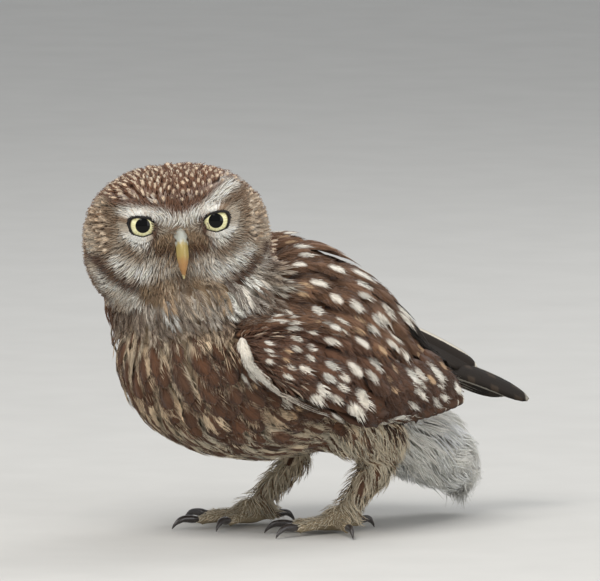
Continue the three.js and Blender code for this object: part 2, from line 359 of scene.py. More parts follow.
# Edge of the small cubes that the joined nodes are made anew from.
VOXEL = 1.3
# The nodes are grown by this much before they are joined, and the skin is set in by it again.
JOIN = 0.5
# Least heights of the skin and the claws over the floor.
SKIN_FLOOR, CLAW_FLOOR = 0.05, 0.02
# The skin is a little darker than the coat over it.
SKIN_SHADE = 0.8
FLESH_STEMS = ("wing", "thigh", "tarsus", "foot") + tuple(f"toe_{{}}_{key}" for key in TOES)


def both_sides(stem):
    """Names of the left and the right node of a kind."""
    pattern = stem if "{}" in stem else stem + "_{}"
    return [pattern.format(side) for side, _ in SIDES]


FLESH = ["head", "neck", "trunk", "undertail_coverts"] + [n for stem in FLESH_STEMS for n in both_sides(stem)]
BARE = ["eye_left", "eye_right", "bill_upper", "bill_lower"]
KINDS = ("head", "neck", "trunk", "undertail", "wing", "thigh", "tarsus", "foot", "toe", "eye", "bill")
KIND = {name: number for number, name in enumerate(KINDS)}


def kind_of(node):
    """The kind of body part that a node belongs to."""
    return KIND[node.split("_")[0]]


def spread(values, edges, times, share=0.5):
    """Values on vertices, evened out along the edges."""
    count = len(values)
    flat = values.reshape(count, -1)
    a, b = edges[:, 0], edges[:, 1]
    degree = np.maximum(np.bincount(a, minlength=count) + np.bincount(b, minlength=count), 1)
    for _ in range(times):
        mean = np.empty_like(flat)
        for i in range(flat.shape[1]):
            column = flat[:, i]
            total = np.bincount(a, column[b], count) + np.bincount(b, column[a], count)
            mean[:, i] = total / degree
        flat = flat * (1 - share) + mean * share
    return flat.reshape(values.shape)


def vertex_normals(places, triangles):
    """Smooth normals at the vertices."""
    a, b, c = (places[triangles[:, i]] for i in range(3))
    faces = np.cross(b - a, c - a)
    total = np.zeros_like(places)
    for i in range(3):
        for axis in range(3):
            total[:, axis] += np.bincount(triangles[:, i], faces[:, axis], len(places))
    return unit(total)


def remeshed(names):
    """The named nodes as one closed surface of even triangles."""
    made = merged_nodes(names, JOIN)
    mesh = bpy.data.meshes.new("flesh")
    made.to_mesh(mesh)
    made.free()
    holder = add_object("flesh", mesh)
    remesh = holder.modifiers.new("one surface", "REMESH")
    remesh.mode = "VOXEL"
    remesh.voxel_size = VOXEL * METRES
    bpy.context.view_layer.update()
    depsgraph = bpy.context.evaluated_depsgraph_get()
    solid = bmesh.new()
    solid.from_mesh(holder.evaluated_get(depsgraph).to_mesh())
    bmesh.ops.triangulate(solid, faces=solid.faces)
    solid.to_mesh(mesh)
    solid.free()
    bpy.data.objects.remove(holder)
    edges = np.empty(2 * len(mesh.edges), np.int32)
    mesh.edges.foreach_get("vertices", edges)
    places, triangles = mesh_arrays(mesh)
    bpy.data.meshes.remove(mesh)
    return places, triangles, edges.reshape(-1, 2)


def nearest_kinds(places):
    """The kind of body part nearest to each place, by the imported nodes."""
    corners, faces, kinds = [], [], []
    count = 0
    for name in FLESH + BARE:
        node_places, node_triangles = mesh_arrays(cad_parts[name].data)
        corners.append(node_places)
        faces.append(node_triangles + count)
        kinds += [kind_of(name)] * len(node_triangles)
        count += len(node_places)
    tree = BVHTree.FromPolygons(np.vstack(corners).tolist(), np.vstack(faces).tolist(), all_triangles=True)
    return np.array([kinds[tree.find_nearest(place)[2]] for place in places.tolist()])


def by_part(kinds, others, **values):
    """The values of the named kinds of body part, and those of the others."""
    for name, value in values.items():
        chosen = kinds == KIND[name]
        others = np.where(chosen[:, None] if others.ndim > 1 else chosen, value, others)
    return others


def lie_of_coat(places, kinds):
    """The way that the feathers point at each place, before it is laid along the skin."""
    x, y, z = (places - SHIFT).T
    side = np.sign(x)
    aside = rise(np.abs(x), 14, 36)
    steep = np.tan(np.radians(14 + aside * (16 + 22 * rise(y, -40, 15))))
    lie = rows_of(0.12 * side, 1, -steep - 1.6 * rise(-y, 30, 76))
    head = in_head(places)
    out, head_side = np.abs(head[:, 0]), np.sign(head[:, 0])
    facing = rise(-head[:, 1], 4, 14)
    from_bill = unit(head - np.array([0, -27, 5.5]))
    from_eye = unit(head - rows_of(head_side * EYE_SIDE, -22, EYE_HEIGHT))
    round_eye = near(np.hypot(out - EYE_SIDE, head[:, 2] - EYE_HEIGHT), 17) * facing
    on_face = blend(from_bill, from_eye, round_eye)
    brow = near(np.abs(head[:, 2] - (13 + 0.36 * out)), 3.5) * facing * rise(out, 1, 4)
    on_face = blend(on_face, unit(rows_of(head_side, 0.1, 0.75 - 0.02 * out)), brow)
    nape = unit(np.array([0, 0.45, -0.9]))
    on_face = unit(blend(on_face, nape, rise(head[:, 1], 4, 26) * 0.9))
    steep = np.tan(np.radians(28 + 30 * rise(y, -45, 15) - 16 * rise(-z, -60, -46) - 8 * rise(y, 20, 50)))
    lie = by_part(
        kinds,
        lie,
        head=on_face @ HEAD_AXES.T,
        wing=rows_of(-0.1 * side, 1, -steep),
        thigh=rows_of(0.1 * side, 0.45, -0.9),
        tarsus=(0, -0.35, -0.9),
        undertail=rows_of(0.05 * side, 0.8, -0.62),
    )
    for name, hand in SIDES:
        ahead = places - box_middle("foot_" + name)
        ahead[:, 2] = -1.0
        toe = np.isin(kinds, (KIND["toe"], KIND["foot"])) & (side == hand)
        lie = np.where(toe[:, None], ahead, lie)
    return unit(lie)


def coat_depth(places, kinds):
    """How deep the coat is at each place."""
    _, y, z = (places - SHIFT).T
    face = rise(-in_head(places)[:, 1], 4, 18)
    front = np.maximum(rise(-y, 20, 60), rise(-z, -62, -48))
    return by_part(
        kinds,
        np.zeros(len(places)),
        head=coat("crown_depth") * (1 - face) + coat("face_depth") * face,
        trunk=coat("back_depth") * (1 - front) + coat("breast_depth") * front,
        neck=coat("neck_depth"),
        undertail=coat("down_depth"),
        wing=coat("wing_depth"),
        thigh=coat("thigh_depth"),
        tarsus=coat("shank_depth"),
        foot=coat("toe_depth"),
        toe=coat("toe_depth"),
        eye=coat("face_depth"),
        bill=coat("face_depth"),
    )


class Surface:
    """The skin as arrays, with the lie and depth of its coat, the kind of body part and its unwrap."""

    def __init__(self, places, triangles, edges, kinds):
        self.places, self.triangles, self.edges, self.kinds = places, triangles, edges, kinds
        self.normals = vertex_normals(places, triangles)
        lie = spread(lie_of_coat(places, kinds), edges, 10)
        self.lie = unit(lie - self.normals * (lie * self.normals).sum(1, keepdims=True))
        self.depth = spread(coat_depth(places, kinds), edges, 6)
        corners = places[triangles]
        cross = np.cross(corners[:, 1] - corners[:, 0], corners[:, 2] - corners[:, 0])
        self.areas = np.linalg.norm(cross, axis=1) / 2
        self.face_lie = unit(self.lie[triangles].mean(1))
        self.face_normals = unit(self.normals[triangles].mean(1))
        self.face_depth = self.depth[triangles].mean(1)
        self.face_kinds = kinds[triangles[:, 0]]
        self.face_middles = corners.mean(1)
        self.tree = BVHTree.FromPolygons(places.tolist(), triangles.tolist(), all_triangles=True)
        self.unwrap = None

    def nearest(self, places):
        """The nearest places on the skin, and the triangles that they lie on."""
        found = [self.tree.find_nearest(place)[0:3:2] for place in places.tolist()]
        return np.array([tuple(place) for place, _ in found]), np.array([face for _, face in found])

    def unwrapped(self, places, faces):
        """Where places on the skin lie on its unwrap."""
        a, b, c = (self.places[self.triangles[faces, i]] for i in range(3))
        normal = np.cross(b - a, c - a)
        size = np.maximum((normal**2).sum(1), 1e-12)
        wb = (np.cross(places - a, c - a) * normal).sum(1) / size
        wc = (np.cross(b - a, places - a) * normal).sum(1) / size
        weights = rows_of(1 - wb - wc, wb, wc)
        return (self.unwrap[faces] * weights[:, :, None]).sum(1)


SKIN = {}


def skin_surface():
    """The skin that the coat grows on."""
    if "surface" not in SKIN:
        raise RuntimeError("make the skin before the coat")
    return SKIN["surface"]


def unwrap_skin(piece):
    """Unwraps the skin by its own shape, and gives the map's place at each triangle's corners."""
    for other in bpy.context.selected_objects:
        other.select_set(False)
    piece.select_set(True)
    bpy.context.view_layer.objects.active = piece
    piece.data.uv_layers.new(name="OFBake")
    bpy.ops.object.mode_set(mode="EDIT")
    bpy.ops.mesh.select_all(action="SELECT")
    bpy.ops.uv.smart_project(angle_limit=math.radians(70), island_margin=0.004)
    bpy.ops.object.mode_set(mode="OBJECT")
    piece.select_set(False)
    uv = np.empty(2 * len(piece.data.loops), np.float32)
    piece.data.uv_layers["OFBake"].data.foreach_get("uv", uv)
    return uv.reshape(-1, 3, 2).astype(float)


# Colours of the plumage by place. The skin and the coat both read them.


# Lower edge of the crown over the face, as places out to the bird's left and up in the head's own frame.
CROWN_EDGE = (
    (-34, 17),
    (-25, 19.6),
    (-19, 19.8),
    (-12, 18.9),
    (-5, 17.6),
    (2.5, 17.2),
    (8, 18.6),
    (14, 21.6),
    (21, 25.3),
    (28, 26.5),
    (34, 24),
)

# Marks of the face in the head's own frame: colour, half width, strength, the side of the head (1 is the
# bird's left, -1 its right, 0 both), and a route through places out from the middle and up from the centre.
FACE_MARKS = (
    ("disc_grey", 3.4, 0.5, 0, ((26, -6), (30, 0), (31, 6))),
    ("brow_white", 2.4, 0.95, 0, ((0, 14.0), (4, 14.6), (7, 15.4))),
    ("brow_white", 2.0, 1.0, -1, ((5, 15.2), (12, 17.0), (18, 17.6), (22, 17.0))),
    ("brow_white", 2.1, 1.0, 1, ((6, 15.4), (11, 17.0), (15, 20.2), (21, 23.4), (25, 24.2))),
    ("disc_brown", 1.5, 0.8, 1, ((11, 13.6), (15.5, 16.2), (20, 18.6), (27, 20.5))),
    ("disc_brown", 1.3, 0.8, -1, ((20, 14.6), (24, 14.2), (29, 13.0))),
    ("brow_white", 2.1, 1.0, 0, ((21, 7.4), (17.5, 4.0), (12.5, 2.8))),
    ("collar_brown", 0.7, 0.9, 0, ((9.2, 7.6), (10.2, 4.4), (13.2, 0.4))),
    ("throat_tan", 1.9, 0.85, 0, ((4, 6), (7, 4.5), (9.5, 2.0))),
    ("disc_brown", 2.2, 0.95, 0, ((3.6, 1.6), (6.5, 1.0), (9.0, 0.2))),
    ("collar_brown", 1.5, 0.8, 0, ((3.4, -2.2), (6.0, -0.6), (8.8, -0.8))),
    ("collar_brown", 1.4, 0.9, 0, ((5.5, 1.0), (8.4, 0.2))),
    ("disc_brown", 1.3, 0.65, 0, ((22, 3), (19, -1.5), (15, -3.2))),
    ("disc_brown", 1.0, 0.6, 0, ((28.5, 9), (27.5, 3), (24.5, -1.2))),
    ("brow_white", 2.6, 0.6, 0, ((7, -6.8), (11, -7.2), (15, -6.6))),
    ("brow_white", 2.3, 1.0, 0, ((27.5, -2.5), (24.8, -5), (20, -8), (14.5, -9.8))),
    ("collar_brown", 2.0, 0.95, 0, ((34, -1), (31.5, -6), (27.5, -9.8), (22.5, -13), (17, -15.5))),
    ("brow_white", 1.9, 0.9, 0, ((34.5, -8), (30.5, -13), (25, -16.8), (19, -19.2))),
    ("collar_brown", 1.3, 0.7, 0, ((34, -15), (28, -20.5), (21, -22.5))),
    ("throat_tan", 2.6, 0.8, 0, ((5, -13.5), (9, -15), (15, -16))),
    ("disc_brown", 1.3, 0.7, 1, ((1.2, -10.5), (2, -15))),
    ("throat_tan", 1.6, 0.7, 0, ((2, -18.5), (8, -19.6), (15, -19.2))),
    ("brow_white", 1.9, 0.95, 0, ((3, -22.8), (11, -23.6), (20, -23.0), (28, -21.6))),
    ("collar_brown", 2.6, 0.5, 0, ((1, -28.0), (9, -28.8), (18, -28.4), (26, -27.2), (32, -25))),
    ("disc_brown", 0.9, 0.8, 0, ((0, 11.6), (1.8, 11.6))),
    ("collar_brown", 1.0, 0.85, 0, ((19.8, 13.6), (20.8, 11), (19.6, 8))),
    ("collar_brown", 1.1, 0.9, 1, ((9.4, 14.6), (8.4, 11.0), (9.6, 7.6))),
    ("collar_brown", 0.9, 0.85, -1, ((9.2, 12.6), (8.6, 10.0), (9.6, 7.6))),
)


def from_route(out, height, route):
    """Distance in the face's plane from a route of straight runs."""
    best = np.full(len(out), 1e9)
    for (x0, z0), (x1, z1) in zip(route, route[1:]):
        dx, dz = x1 - x0, z1 - z0
        t = np.clip(((out - x0) * dx + (height - z0) * dz) / (dx * dx + dz * dz), 0, 1)
        best = np.minimum(best, np.hypot(out - x0 - t * dx, height - z0 - t * dz))
    return best


def crown_edge(side):
    """Height of the crown's lower edge over the face."""
    return np.interp(side, *np.array(CROWN_EDGE).T)


def face_colours(places):
    """Ground colour of the head: the crown, the discs, and the marks of the face over them."""
    head = in_head(places)
    side, depth, height = head.T
    out = np.abs(side)
    facing = rise(-depth, 0, 8)
    disc = facing * rise(crown_edge(side) - height, -0.8, 0.8)
    ring = 0.5 + 0.5 * np.sin(np.hypot(out - 14, height - 11) * 1.1)
    grey = blend(colour("disc_grey"), colour("disc_brown"), 0.16 + 0.22 * ring)
    ground = blend(np.tile(colour("crown_brown"), (len(places), 1)), grey, disc)
    outer = rise(out, 24, 28) * facing * rise(height, 0, 5)
    ground = blend(ground, blend(colour("crown_cream"), colour("disc_brown"), 0.75), outer * 0.85)
    for name, half_width, strength, hand, route in FACE_MARKS:
        amount = near(from_route(out, height, route), half_width) * strength * facing
        if hand:
            amount = amount * (side * hand > -2)
        ground = blend(ground, colour(name), np.clip(amount * 1.35, 0, strength))
    # Pale nape patches behind, under two darker ones: the false face that the species shows from the back.
    behind = rise(depth, 8, 16)
    pale = near(from_route(out, height, ((3, -9), (12, -5), (20, 3))), 2.6)
    dark = near(np.hypot(out - 9, height - 3), 4.5)
    ground = blend(ground, colour("collar_brown"), behind * dark * 0.75)
    return blend(ground, colour("crown_cream"), behind * pale * 0.85)


def breast_share(bird):
    """How far forward a place of the trunk lies, in millimetres: the breast is over 44."""
    return -bird[:, 1] - 0.25 * (bird[:, 2] - 60) - 8 * rise(bird[:, 2], 70, 84)


# Rear edge of the folded wing's coverts, as places back along the bird and up.
REAR_EDGE = ((56.5, 46.9), (42.5, 65.4), (33.0, 75.9))


def behind_wing(bird):
    """Whether places lie behind the coverts' rear edge, where the flight feathers show in their dark brown,
    which is partly painted shade.
    """
    past = bird[:, 1] - np.interp(bird[:, 2], *np.array(REAR_EDGE).T[::-1])
    return rise(past, 1.0, 2.5) * rise(np.abs(bird[:, 0]), 9, 13) * rise(bird[:, 2], 44, 48)


def body_colours(places, kinds):
    """Ground colour of the body, by the part and the place on it."""
    bird = places - SHIFT
    _, y, z = bird.T
    cream, buff, back = colour("breast_cream"), colour("flank_buff"), colour("back_brown")
    front = np.maximum(rise(breast_share(bird), 42, 58), rise(-z, -56, -44))
    ground = blend(back, cream, front)
    ground = blend(ground, buff, rise(-z, -48, -34))
    ground = blend(ground, colour("down_white"), rise(y, 16, 40) * rise(-z, -58, -48))
    down, toe = colour("down_white"), colour("toe_skin")
    ground = by_part(
        kinds, ground, wing=colour("wing_brown"), undertail=down, thigh=buff, tarsus=buff, foot=toe, toe=toe
    )
    wing = np.isin(kinds, (KIND["wing"], KIND["trunk"]))
    return blend(ground, colour("flight_brown"), behind_wing(bird) * wing)


def plumage_ground(places, kinds):
    """Ground colour at each place of the skin or the coat."""
    head = in_head(places)
    reach = np.linalg.norm(head / np.array([37, 31, 30]), axis=1)
    ground = body_colours(places, kinds)
    return blend(ground, face_colours(places), rise(-reach, -1.48, -1.3) * (kinds <= KIND["neck"]))


# Materials.


def add_node(tree, kind, links=None, **settings):
    """Adds a node with its settings. Its inputs are values, or joined to other nodes or their sockets."""
    node = tree.nodes.new(kind if "Node" in kind else "ShaderNode" + kind)
    for name, value in settings.items():
        setattr(node, name, value)
    for key, value in (links or {}).items():
        if isinstance(value, bpy.types.Node):
            value = value.outputs[0]
        if isinstance(value, bpy.types.NodeSocket):
            tree.links.new(value, node.inputs[key])
        else:
            node.inputs[key].default_value = value
    return node


def new_material(name):
    """An empty node material with its output, and its tree."""
    material = bpy.data.materials.new(name)
    material.use_nodes = True
    material.node_tree.nodes.clear()
    return material, material.node_tree


def opaque(rgb):
    """A colour as a node's socket takes it."""
    return (*rgb, 1.0)


def layered(tree, base, layers, interpolation="SMOOTHSTEP"):
    """A base colour under layers: for each a value, its low and high end, the most it covers and a colour."""
    for value, low, high, most, over in layers:
        ends = {0: value, 1: low, 2: high, 4: most}
        amount = add_node(tree, "MapRange", ends, interpolation_type=interpolation)
        base = add_node(tree, "Mix", {0: amount, 6: base, 7: over}, data_type="RGBA").outputs[2]
    return base


def add_surface(tree, base, settings, relief=None):
    """The surface's shader, and the height, strength and depth in metres of its relief."""
    if relief:
        height, strength, depth = relief
        bump = add_node(tree, "Bump", {"Height": height, "Strength": strength, "Distance": depth})
        settings = {**settings, "Normal": bump}
    shader = add_node(tree, "BsdfPrincipled", {"Base Color": base, **settings})
    add_node(tree, "OutputMaterial", {"Surface": shader})


def add_grain(tree, scale, detail):
    """A fine grain in the object's own coordinates, so many times to the metre."""
    place = add_node(tree, "TexCoord")
    return add_node(tree, "TexNoise", {"Vector": place.outputs["Object"], "Scale": scale, "Detail": detail})


def grained_material(name, grain, tones, settings, relief=None, interpolation="SMOOTHSTEP"):
    """A surface of two tones, mixed by a grain between a low and a high end. The same grain may raise it."""
    material, tree = new_material(name)
    noise = add_grain(tree, *grain)
    low, high, first, second = tones
    base = layered(tree, opaque(first), ((noise, low, high, 1.0, opaque(second)),), interpolation)
    add_surface(tree, base, settings, relief and (noise, *relief))
    return material


@functools.cache
def feather_material(name, roughness, sheen, bars=0.0, streak=0.16, rim=0.0):
    """Feather vane: keratin barbs side by side, which give fine oblique lines and a soft, dull sheen.

    The vane attribute holds the place across and along the feather, spot the place from its spot's middle in
    the spot's half sizes, and grain the place among its barbs. Real barbs lie about 0.3 mm apart. They are
    drawn about 0.8 mm apart, since finer ones don't show in the picture.
    """
    material, tree = new_material(name)
    vane, spot, grain = (
        add_node(tree, "Attribute", attribute_name=key).outputs["Vector"] for key in ("vane", "spot", "grain")
    )
    base, mark = (add_node(tree, "Attribute", attribute_name=key) for key in ("ground", "mark"))
    across, along, _ = add_node(tree, "SeparateXYZ", {0: vane}).outputs
    noise = add_node(tree, "TexNoise", {"Vector": grain, "Scale": 1.0, "Detail": 2.0})
    wobble = add_node(tree, "Math", {0: noise, 1: 0.9, 2: -0.45}, operation="MULTIPLY_ADD")
    if bars:
        waver = add_node(tree, "Math", {0: wobble, 1: 0.25}, operation="MULTIPLY")
        turns = add_node(tree, "Math", {0: along, 1: bars, 2: waver}, operation="MULTIPLY_ADD")
        bar = add_node(tree, "Math", {0: turns, 1: 0.5}, operation="PINGPONG")
        off_shaft = {0: across, 1: 0.25, 2: 0.5, 4: 0.75}
        most = add_node(tree, "MapRange", off_shaft, interpolation_type="SMOOTHSTEP")
        base = layered(tree, base, ((bar, 0.3, 0.38, most, opaque(colour("flight_buff"))),))
    if rim:
        ragged = add_node(tree, "Math", {0: wobble, 1: 0.12, 2: across}, operation="MULTIPLY_ADD")
        edges = ((ragged, rim - 0.03, rim + 0.03, 1.0, mark), (along, 0.955, 0.975, 1.0, mark))
        base = layered(tree, base, edges)
    else:
        reach = add_node(tree, "VectorMath", {0: spot}, operation="LENGTH").outputs["Value"]
        ragged = add_node(tree, "Math", {0: reach, 1: wobble}, operation="ADD")
        base = layered(tree, base, ((ragged, 1.22, 0.66, 1.0, mark),))
    from_shaft = add_node(tree, "SeparateXYZ", {0: grain}).outputs[1]
    shaft_ends = {0: from_shaft, 1: 0.075, 2: 0.02, 3: 1 - streak, 4: 0.86 - streak}
    shaft = add_node(tree, "MapRange", shaft_ends, interpolation_type="SMOOTHSTEP")
    streaks = add_node(tree, "Math", {0: noise, 1: 2 * streak, 2: shaft}, operation="MULTIPLY_ADD")
    shaded = add_node(tree, "Mix", {0: 1.0, 6: base, 7: streaks}, data_type="RGBA", blend_type="MULTIPLY")
    lines = add_node(tree, "TexWave", {"Vector": grain, "Scale": 0.32, "Distortion": 0.6})
    ridge = add_node(tree, "Math", {0: noise, 1: 0.8, 2: lines.outputs["Fac"]}, operation="MULTIPLY_ADD")
    settings = {
        "Roughness": roughness,
        "Specular IOR Level": 0.15,
        "Sheen Weight": sheen,
        "Sheen Roughness": 0.5,
    }
    add_surface(tree, shaded.outputs[2], settings, (ridge, 0.4, 0.0001))
    return material


@functools.cache
def skin_material():
    """Owl skin under the coat: soft and dull, in the coat's own colours, with pores about 1 mm apart.

    Real pores are finer, but wouldn't show.
    """
    material, tree = new_material("skin under the coat")
    ground = add_node(tree, "Attribute", attribute_name="ground")
    pores = add_grain(tree, 900.0, 3.0)
    ends = {0: pores, 1: 0.75, 2: 0.25}
    deep = add_node(tree, "MapRange", ends, interpolation_type="SMOOTHSTEP")
    tint = {0: deep, 6: ground, 7: (0.78, 0.74, 0.7, 1.0)}
    base = add_node(tree, "Mix", tint, data_type="RGBA", blend_type="MULTIPLY")
    add_surface(tree, base.outputs[2], {"Roughness": 0.9, "Specular IOR Level": 0.2}, (pores, 0.6, 0.0004))
    return material


@functools.cache
def eye_material():
    """Eye: a wet clear cornea over a yellow iris with fine spokes, a black pupil and a dark rim.

    The iris attribute holds the turn about the gaze's line, and the distance from it and the height over it
    in millimetres. The top of the iris is painted darker: painted shade of the upper lid.
    """
    material, tree = new_material("wet eye")
    iris = add_node(tree, "Attribute", attribute_name="iris").outputs["Vector"]
    _, radius, height = add_node(tree, "SeparateXYZ", {0: iris}).outputs
    stretched = add_node(tree, "VectorMath", {0: iris, 1: (9.0, 0.35, 0.0)}, operation="MULTIPLY")
    spokes = add_node(tree, "TexNoise", {"Vector": stretched, "Scale": 1.0, "Detail": 3.0})
    yellow = colour("iris_yellow")
    layers = (
        (spokes, 0.35, 0.65, 1.0, opaque(yellow)),
        # Painted shade: the top of the iris is darkened, as if under the upper lid.
        (height, 1.4, 3.3, 0.8, opaque(yellow * np.array([0.16, 0.13, 0.06]))),
        (radius, 4.15, 4.75, 1.0, (0.05, 0.035, 0.02, 1.0)),
        (radius, 2.92, 2.76, 1.0, (0.002, 0.002, 0.002, 1.0)),
    )
    base = layered(tree, opaque(yellow * np.array([0.78, 0.74, 0.6])), layers)
    settings = {
        "Roughness": 0.3,
        "Specular IOR Level": 0.0,
        "Coat Weight": 0.7,
        "Coat Roughness": 0.015,
        "Coat IOR": 1.35,
    }
    add_surface(tree, base, settings)
    return material


@functools.cache
def lid_material():
    """Rim of the eyelids: bare black skin, with wrinkles about 0.5 mm apart, a little moist."""
    tones = (0.0, 1.0, (0.004, 0.003, 0.003), (0.016, 0.012, 0.01))
    settings = {"Roughness": 0.5, "Specular IOR Level": 0.3}
    return grained_material("eyelid skin", (2200.0, 2.0), tones, settings, (0.4, 0.0002), "LINEAR")


@functools.cache
def bill_material():
    """Bill: grown horn, satin, grey and soft at the cere, pale along the ridge and warm at its lower sides.

    The horn attribute holds the place along the bill, how low it is on the bill, and the nostril. The marks
    of growth are drawn about 1.5 mm apart, coarser than real ones.
    """
    material, tree = new_material("bill horn")
    horn = add_node(tree, "Attribute", attribute_name="horn").outputs["Vector"]
    along, low, nostril = add_node(tree, "SeparateXYZ", {0: horn}).outputs
    growth = add_grain(tree, 700.0, 4.0)
    rough_along, rough_low = (
        add_node(tree, "Math", {0: growth, 1: 0.16, 2: place}, operation="MULTIPLY_ADD")
        for place in (along, low)
    )
    beside = add_node(tree, "MapRange", {0: low, 1: -0.5, 2: 0.2}, interpolation_type="SMOOTHSTEP")
    yellow = colour("bill_yellow")
    layers = (
        (rough_low, 0.12, 0.42, 1.0, opaque(yellow * np.array([0.62, 0.52, 0.32]))),
        (rough_along, 0.68, 0.86, beside, opaque(colour("bill_orange"))),
        (rough_along, 1.0, 1.06, 1.0, opaque(yellow)),
        (rough_along, 0.61, 0.53, 1.0, opaque(colour("cere_grey"))),
        # Painted shade: the nostrils' openings are painted almost black.
        (nostril, 0.35, 0.8, 1.0, (0.01, 0.008, 0.007, 1.0)),
    )
    settings = {
        "Roughness": 0.4,
        "Coat Weight": 0.2,
        "Coat Roughness": 0.3,
        "Subsurface Weight": 0.05,
        "Subsurface Radius": (0.002, 0.0012, 0.0006),
    }
    add_surface(tree, layered(tree, opaque(yellow), layers), settings, (growth, 0.25, 0.0003))
    return material


@functools.cache
def bristle_material():
    """Bristles round the bill: bare feather shafts, stiff, brown and a little shiny."""
    material, tree = new_material("bristle shafts")
    tone = add_node(tree, "Attribute", attribute_name="ground")
    add_surface(tree, tone, {"Roughness": 0.55, "Specular IOR Level": 0.35})
    return material


@functools.cache
def claw_material():
    """Claws: grown horn, almost black, with a grain drawn about 0.7 mm apart and worn, paler patches."""
    tones = (0.4, 0.75, colour("claw_black"), (0.06, 0.05, 0.045))
    settings = {"Roughness": 0.35, "Coat Weight": 0.3}
    return grained_material("claw horn", (1500.0, 3.0), tones, settings, (0.3, 0.0002))


@functools.cache
def floor_material():
    """Floor: matt, pale painted board, its tone uneven over about 30 mm."""
    tones = (0.0, 1.0, linear("#c9c8c4"), linear("#d3d2ce"))
    settings = {"Roughness": 0.85, "Specular IOR Level": 0.2}
    return grained_material("matt pale paint", (30.0, 4.0), tones, settings, interpolation="LINEAR")


# Feathers: small templates in a feather's own measures, laid on lines that run along the skin.


def blade(stations, widths, ring):
    """A closed blade along y from 0 to 1, with a ring of corners at each station and one point at the tip."""
    corners = []
    for y, width in zip(stations, widths):
        corners += [(x * width, y, z) for x, z in ring]
    corners.append((0.0, 1.0, 0.0))
    count, tip = len(ring), len(corners) - 1
    triangles = []
    for row in range(len(stations) - 1):
        for j in range(count):
            a, b = row * count + j, row * count + (j + 1) % count
            triangles += [(a, b, b + count), (a, b + count, a + count)]
    last = (len(stations) - 1) * count
    triangles += [(last + j, last + (j + 1) % count, tip) for j in range(count)]
    triangles += [(0, j + 1, j) for j in range(1, count - 1)]
    return np.array(corners), np.array(triangles)


VANE_RING = ((-1, 0), (0, 1), (1, 0), (0, -0.5))
VANE_STATIONS = (0, 0.2, 0.45, 0.68, 0.86, 0.96)
VANE_WIDTHS = (0.25, 0.7, 1.0, 0.98, 0.72, 0.36)
BARB_RING = ((-1, 0), (0, 1), (1, 0))
ROUND_VANE = blade(VANE_STATIONS, VANE_WIDTHS, VANE_RING)
DROP_VANE = blade((0, 0.3, 0.62, 0.87), (0.3, 0.9, 1.0, 0.55), VANE_RING)
LONG_BARB = blade((0, 0.4, 0.75), (0.7, 1.0, 0.7), BARB_RING)
SHORT_BARB = blade((0, 0.55), (0.8, 1.0), BARB_RING)


class Lines:
    """Centre lines of feathers that run along the skin, with a frame at each of their stations."""

    def __init__(self, centres, ups, roots, faces):
        self.centres, self.ups, self.roots, self.faces = centres, ups, roots, faces
        along = unit(np.gradient(centres, axis=1))
        self.sides = unit(np.cross(along, ups))
        self.ups = unit(np.cross(self.sides, along))

    def __len__(self):
        return len(self.centres)

    def at(self, index, across, along, up):
        """Places in the frames of the indexed lines, by millimetres across and up and shares along."""
        last = self.centres.shape[1] - 1
        run = along * last
        k = np.clip(run.astype(int), 0, last - 1)
        t = (run - k)[..., None]
        index = np.broadcast_to(index[:, None], k.shape)
        found = []
        for values in (self.centres, self.sides, self.ups):
            found.append(values[index, k] * (1 - t) + values[index, k + 1] * t)
        centre, side, above = found
        return centre + side * across[..., None] + above * up[..., None]


# Finishes of the coat's feathers: name, roughness and sheen.
BODY_VANES = ("body vanes", 0.8, 0.1)
LOOSE_BARBS = ("loose barbs", 0.85, 0.1)
LEG_BARBS = ("loose barbs", 0.85, 0.15)


def scatter(surface, mask, spacing, seed):
    """Places spread over the masked triangles, no two nearer than the spacing there, and their triangles."""
    random = draws(seed)
    spacing = np.broadcast_to(spacing, mask.shape)
    weight = surface.areas * mask / spacing**2
    count = int(weight.sum() * 5)
    faces = random.choice(len(weight), count, p=weight / weight.sum())
    u, v = random.random((2, count))
    flip = u + v > 1
    u[flip], v[flip] = 1 - u[flip], 1 - v[flip]
    a, b, c = (surface.places[surface.triangles[faces, i]] for i in range(3))
    places = a + (b - a) * u[:, None] + (c - a) * v[:, None]
    tree = KDTree(count)
    listed = places.tolist()
    for i, place in enumerate(listed):
        tree.insert(place, i)
    tree.balance()
    taken = np.zeros(count, bool)
    kept = []
    reaches = spacing[faces].tolist()
    for i, place in enumerate(listed):
        if taken[i]:
            continue
        kept.append(i)
        for _, j, _ in tree.find_range(place, reaches[i]):
            taken[j] = True
    return places[kept], faces[kept]


def run_lines(surface, roots, faces, lengths, steps, lift, random, stray=0.12, yaw=0.0):
    """Lines from the roots along the lie of the coat, rising from the skin to its depth and the lift."""
    count = len(roots)
    yaw = yaw + random.normal(0, stray, count)
    at, on = roots, faces
    centres, ups = [roots], [surface.face_normals[faces]]
    for _ in range(steps):
        normal = surface.face_normals[on]
        lie = surface.face_lie[on]
        lie = lie * np.cos(yaw)[:, None] + np.cross(normal, lie) * np.sin(yaw)[:, None]
        at, on = surface.nearest(at + lie * (lengths / steps)[:, None])
        centres.append(at)
        ups.append(surface.face_normals[on])
    centres, ups = np.stack(centres, 1), np.stack(ups, 1)
    share = np.linspace(0, 1, steps + 1)[None, :]
    rough = random.normal(1, 0.06, count)[:, None]
    lift = np.broadcast_to(lift, count)[:, None]
    height = surface.face_depth[faces][:, None] * (1 - (1 - share) ** 2) * rough + lift * share**2
    return Lines(centres + ups * height[..., None], ups, roots, faces)


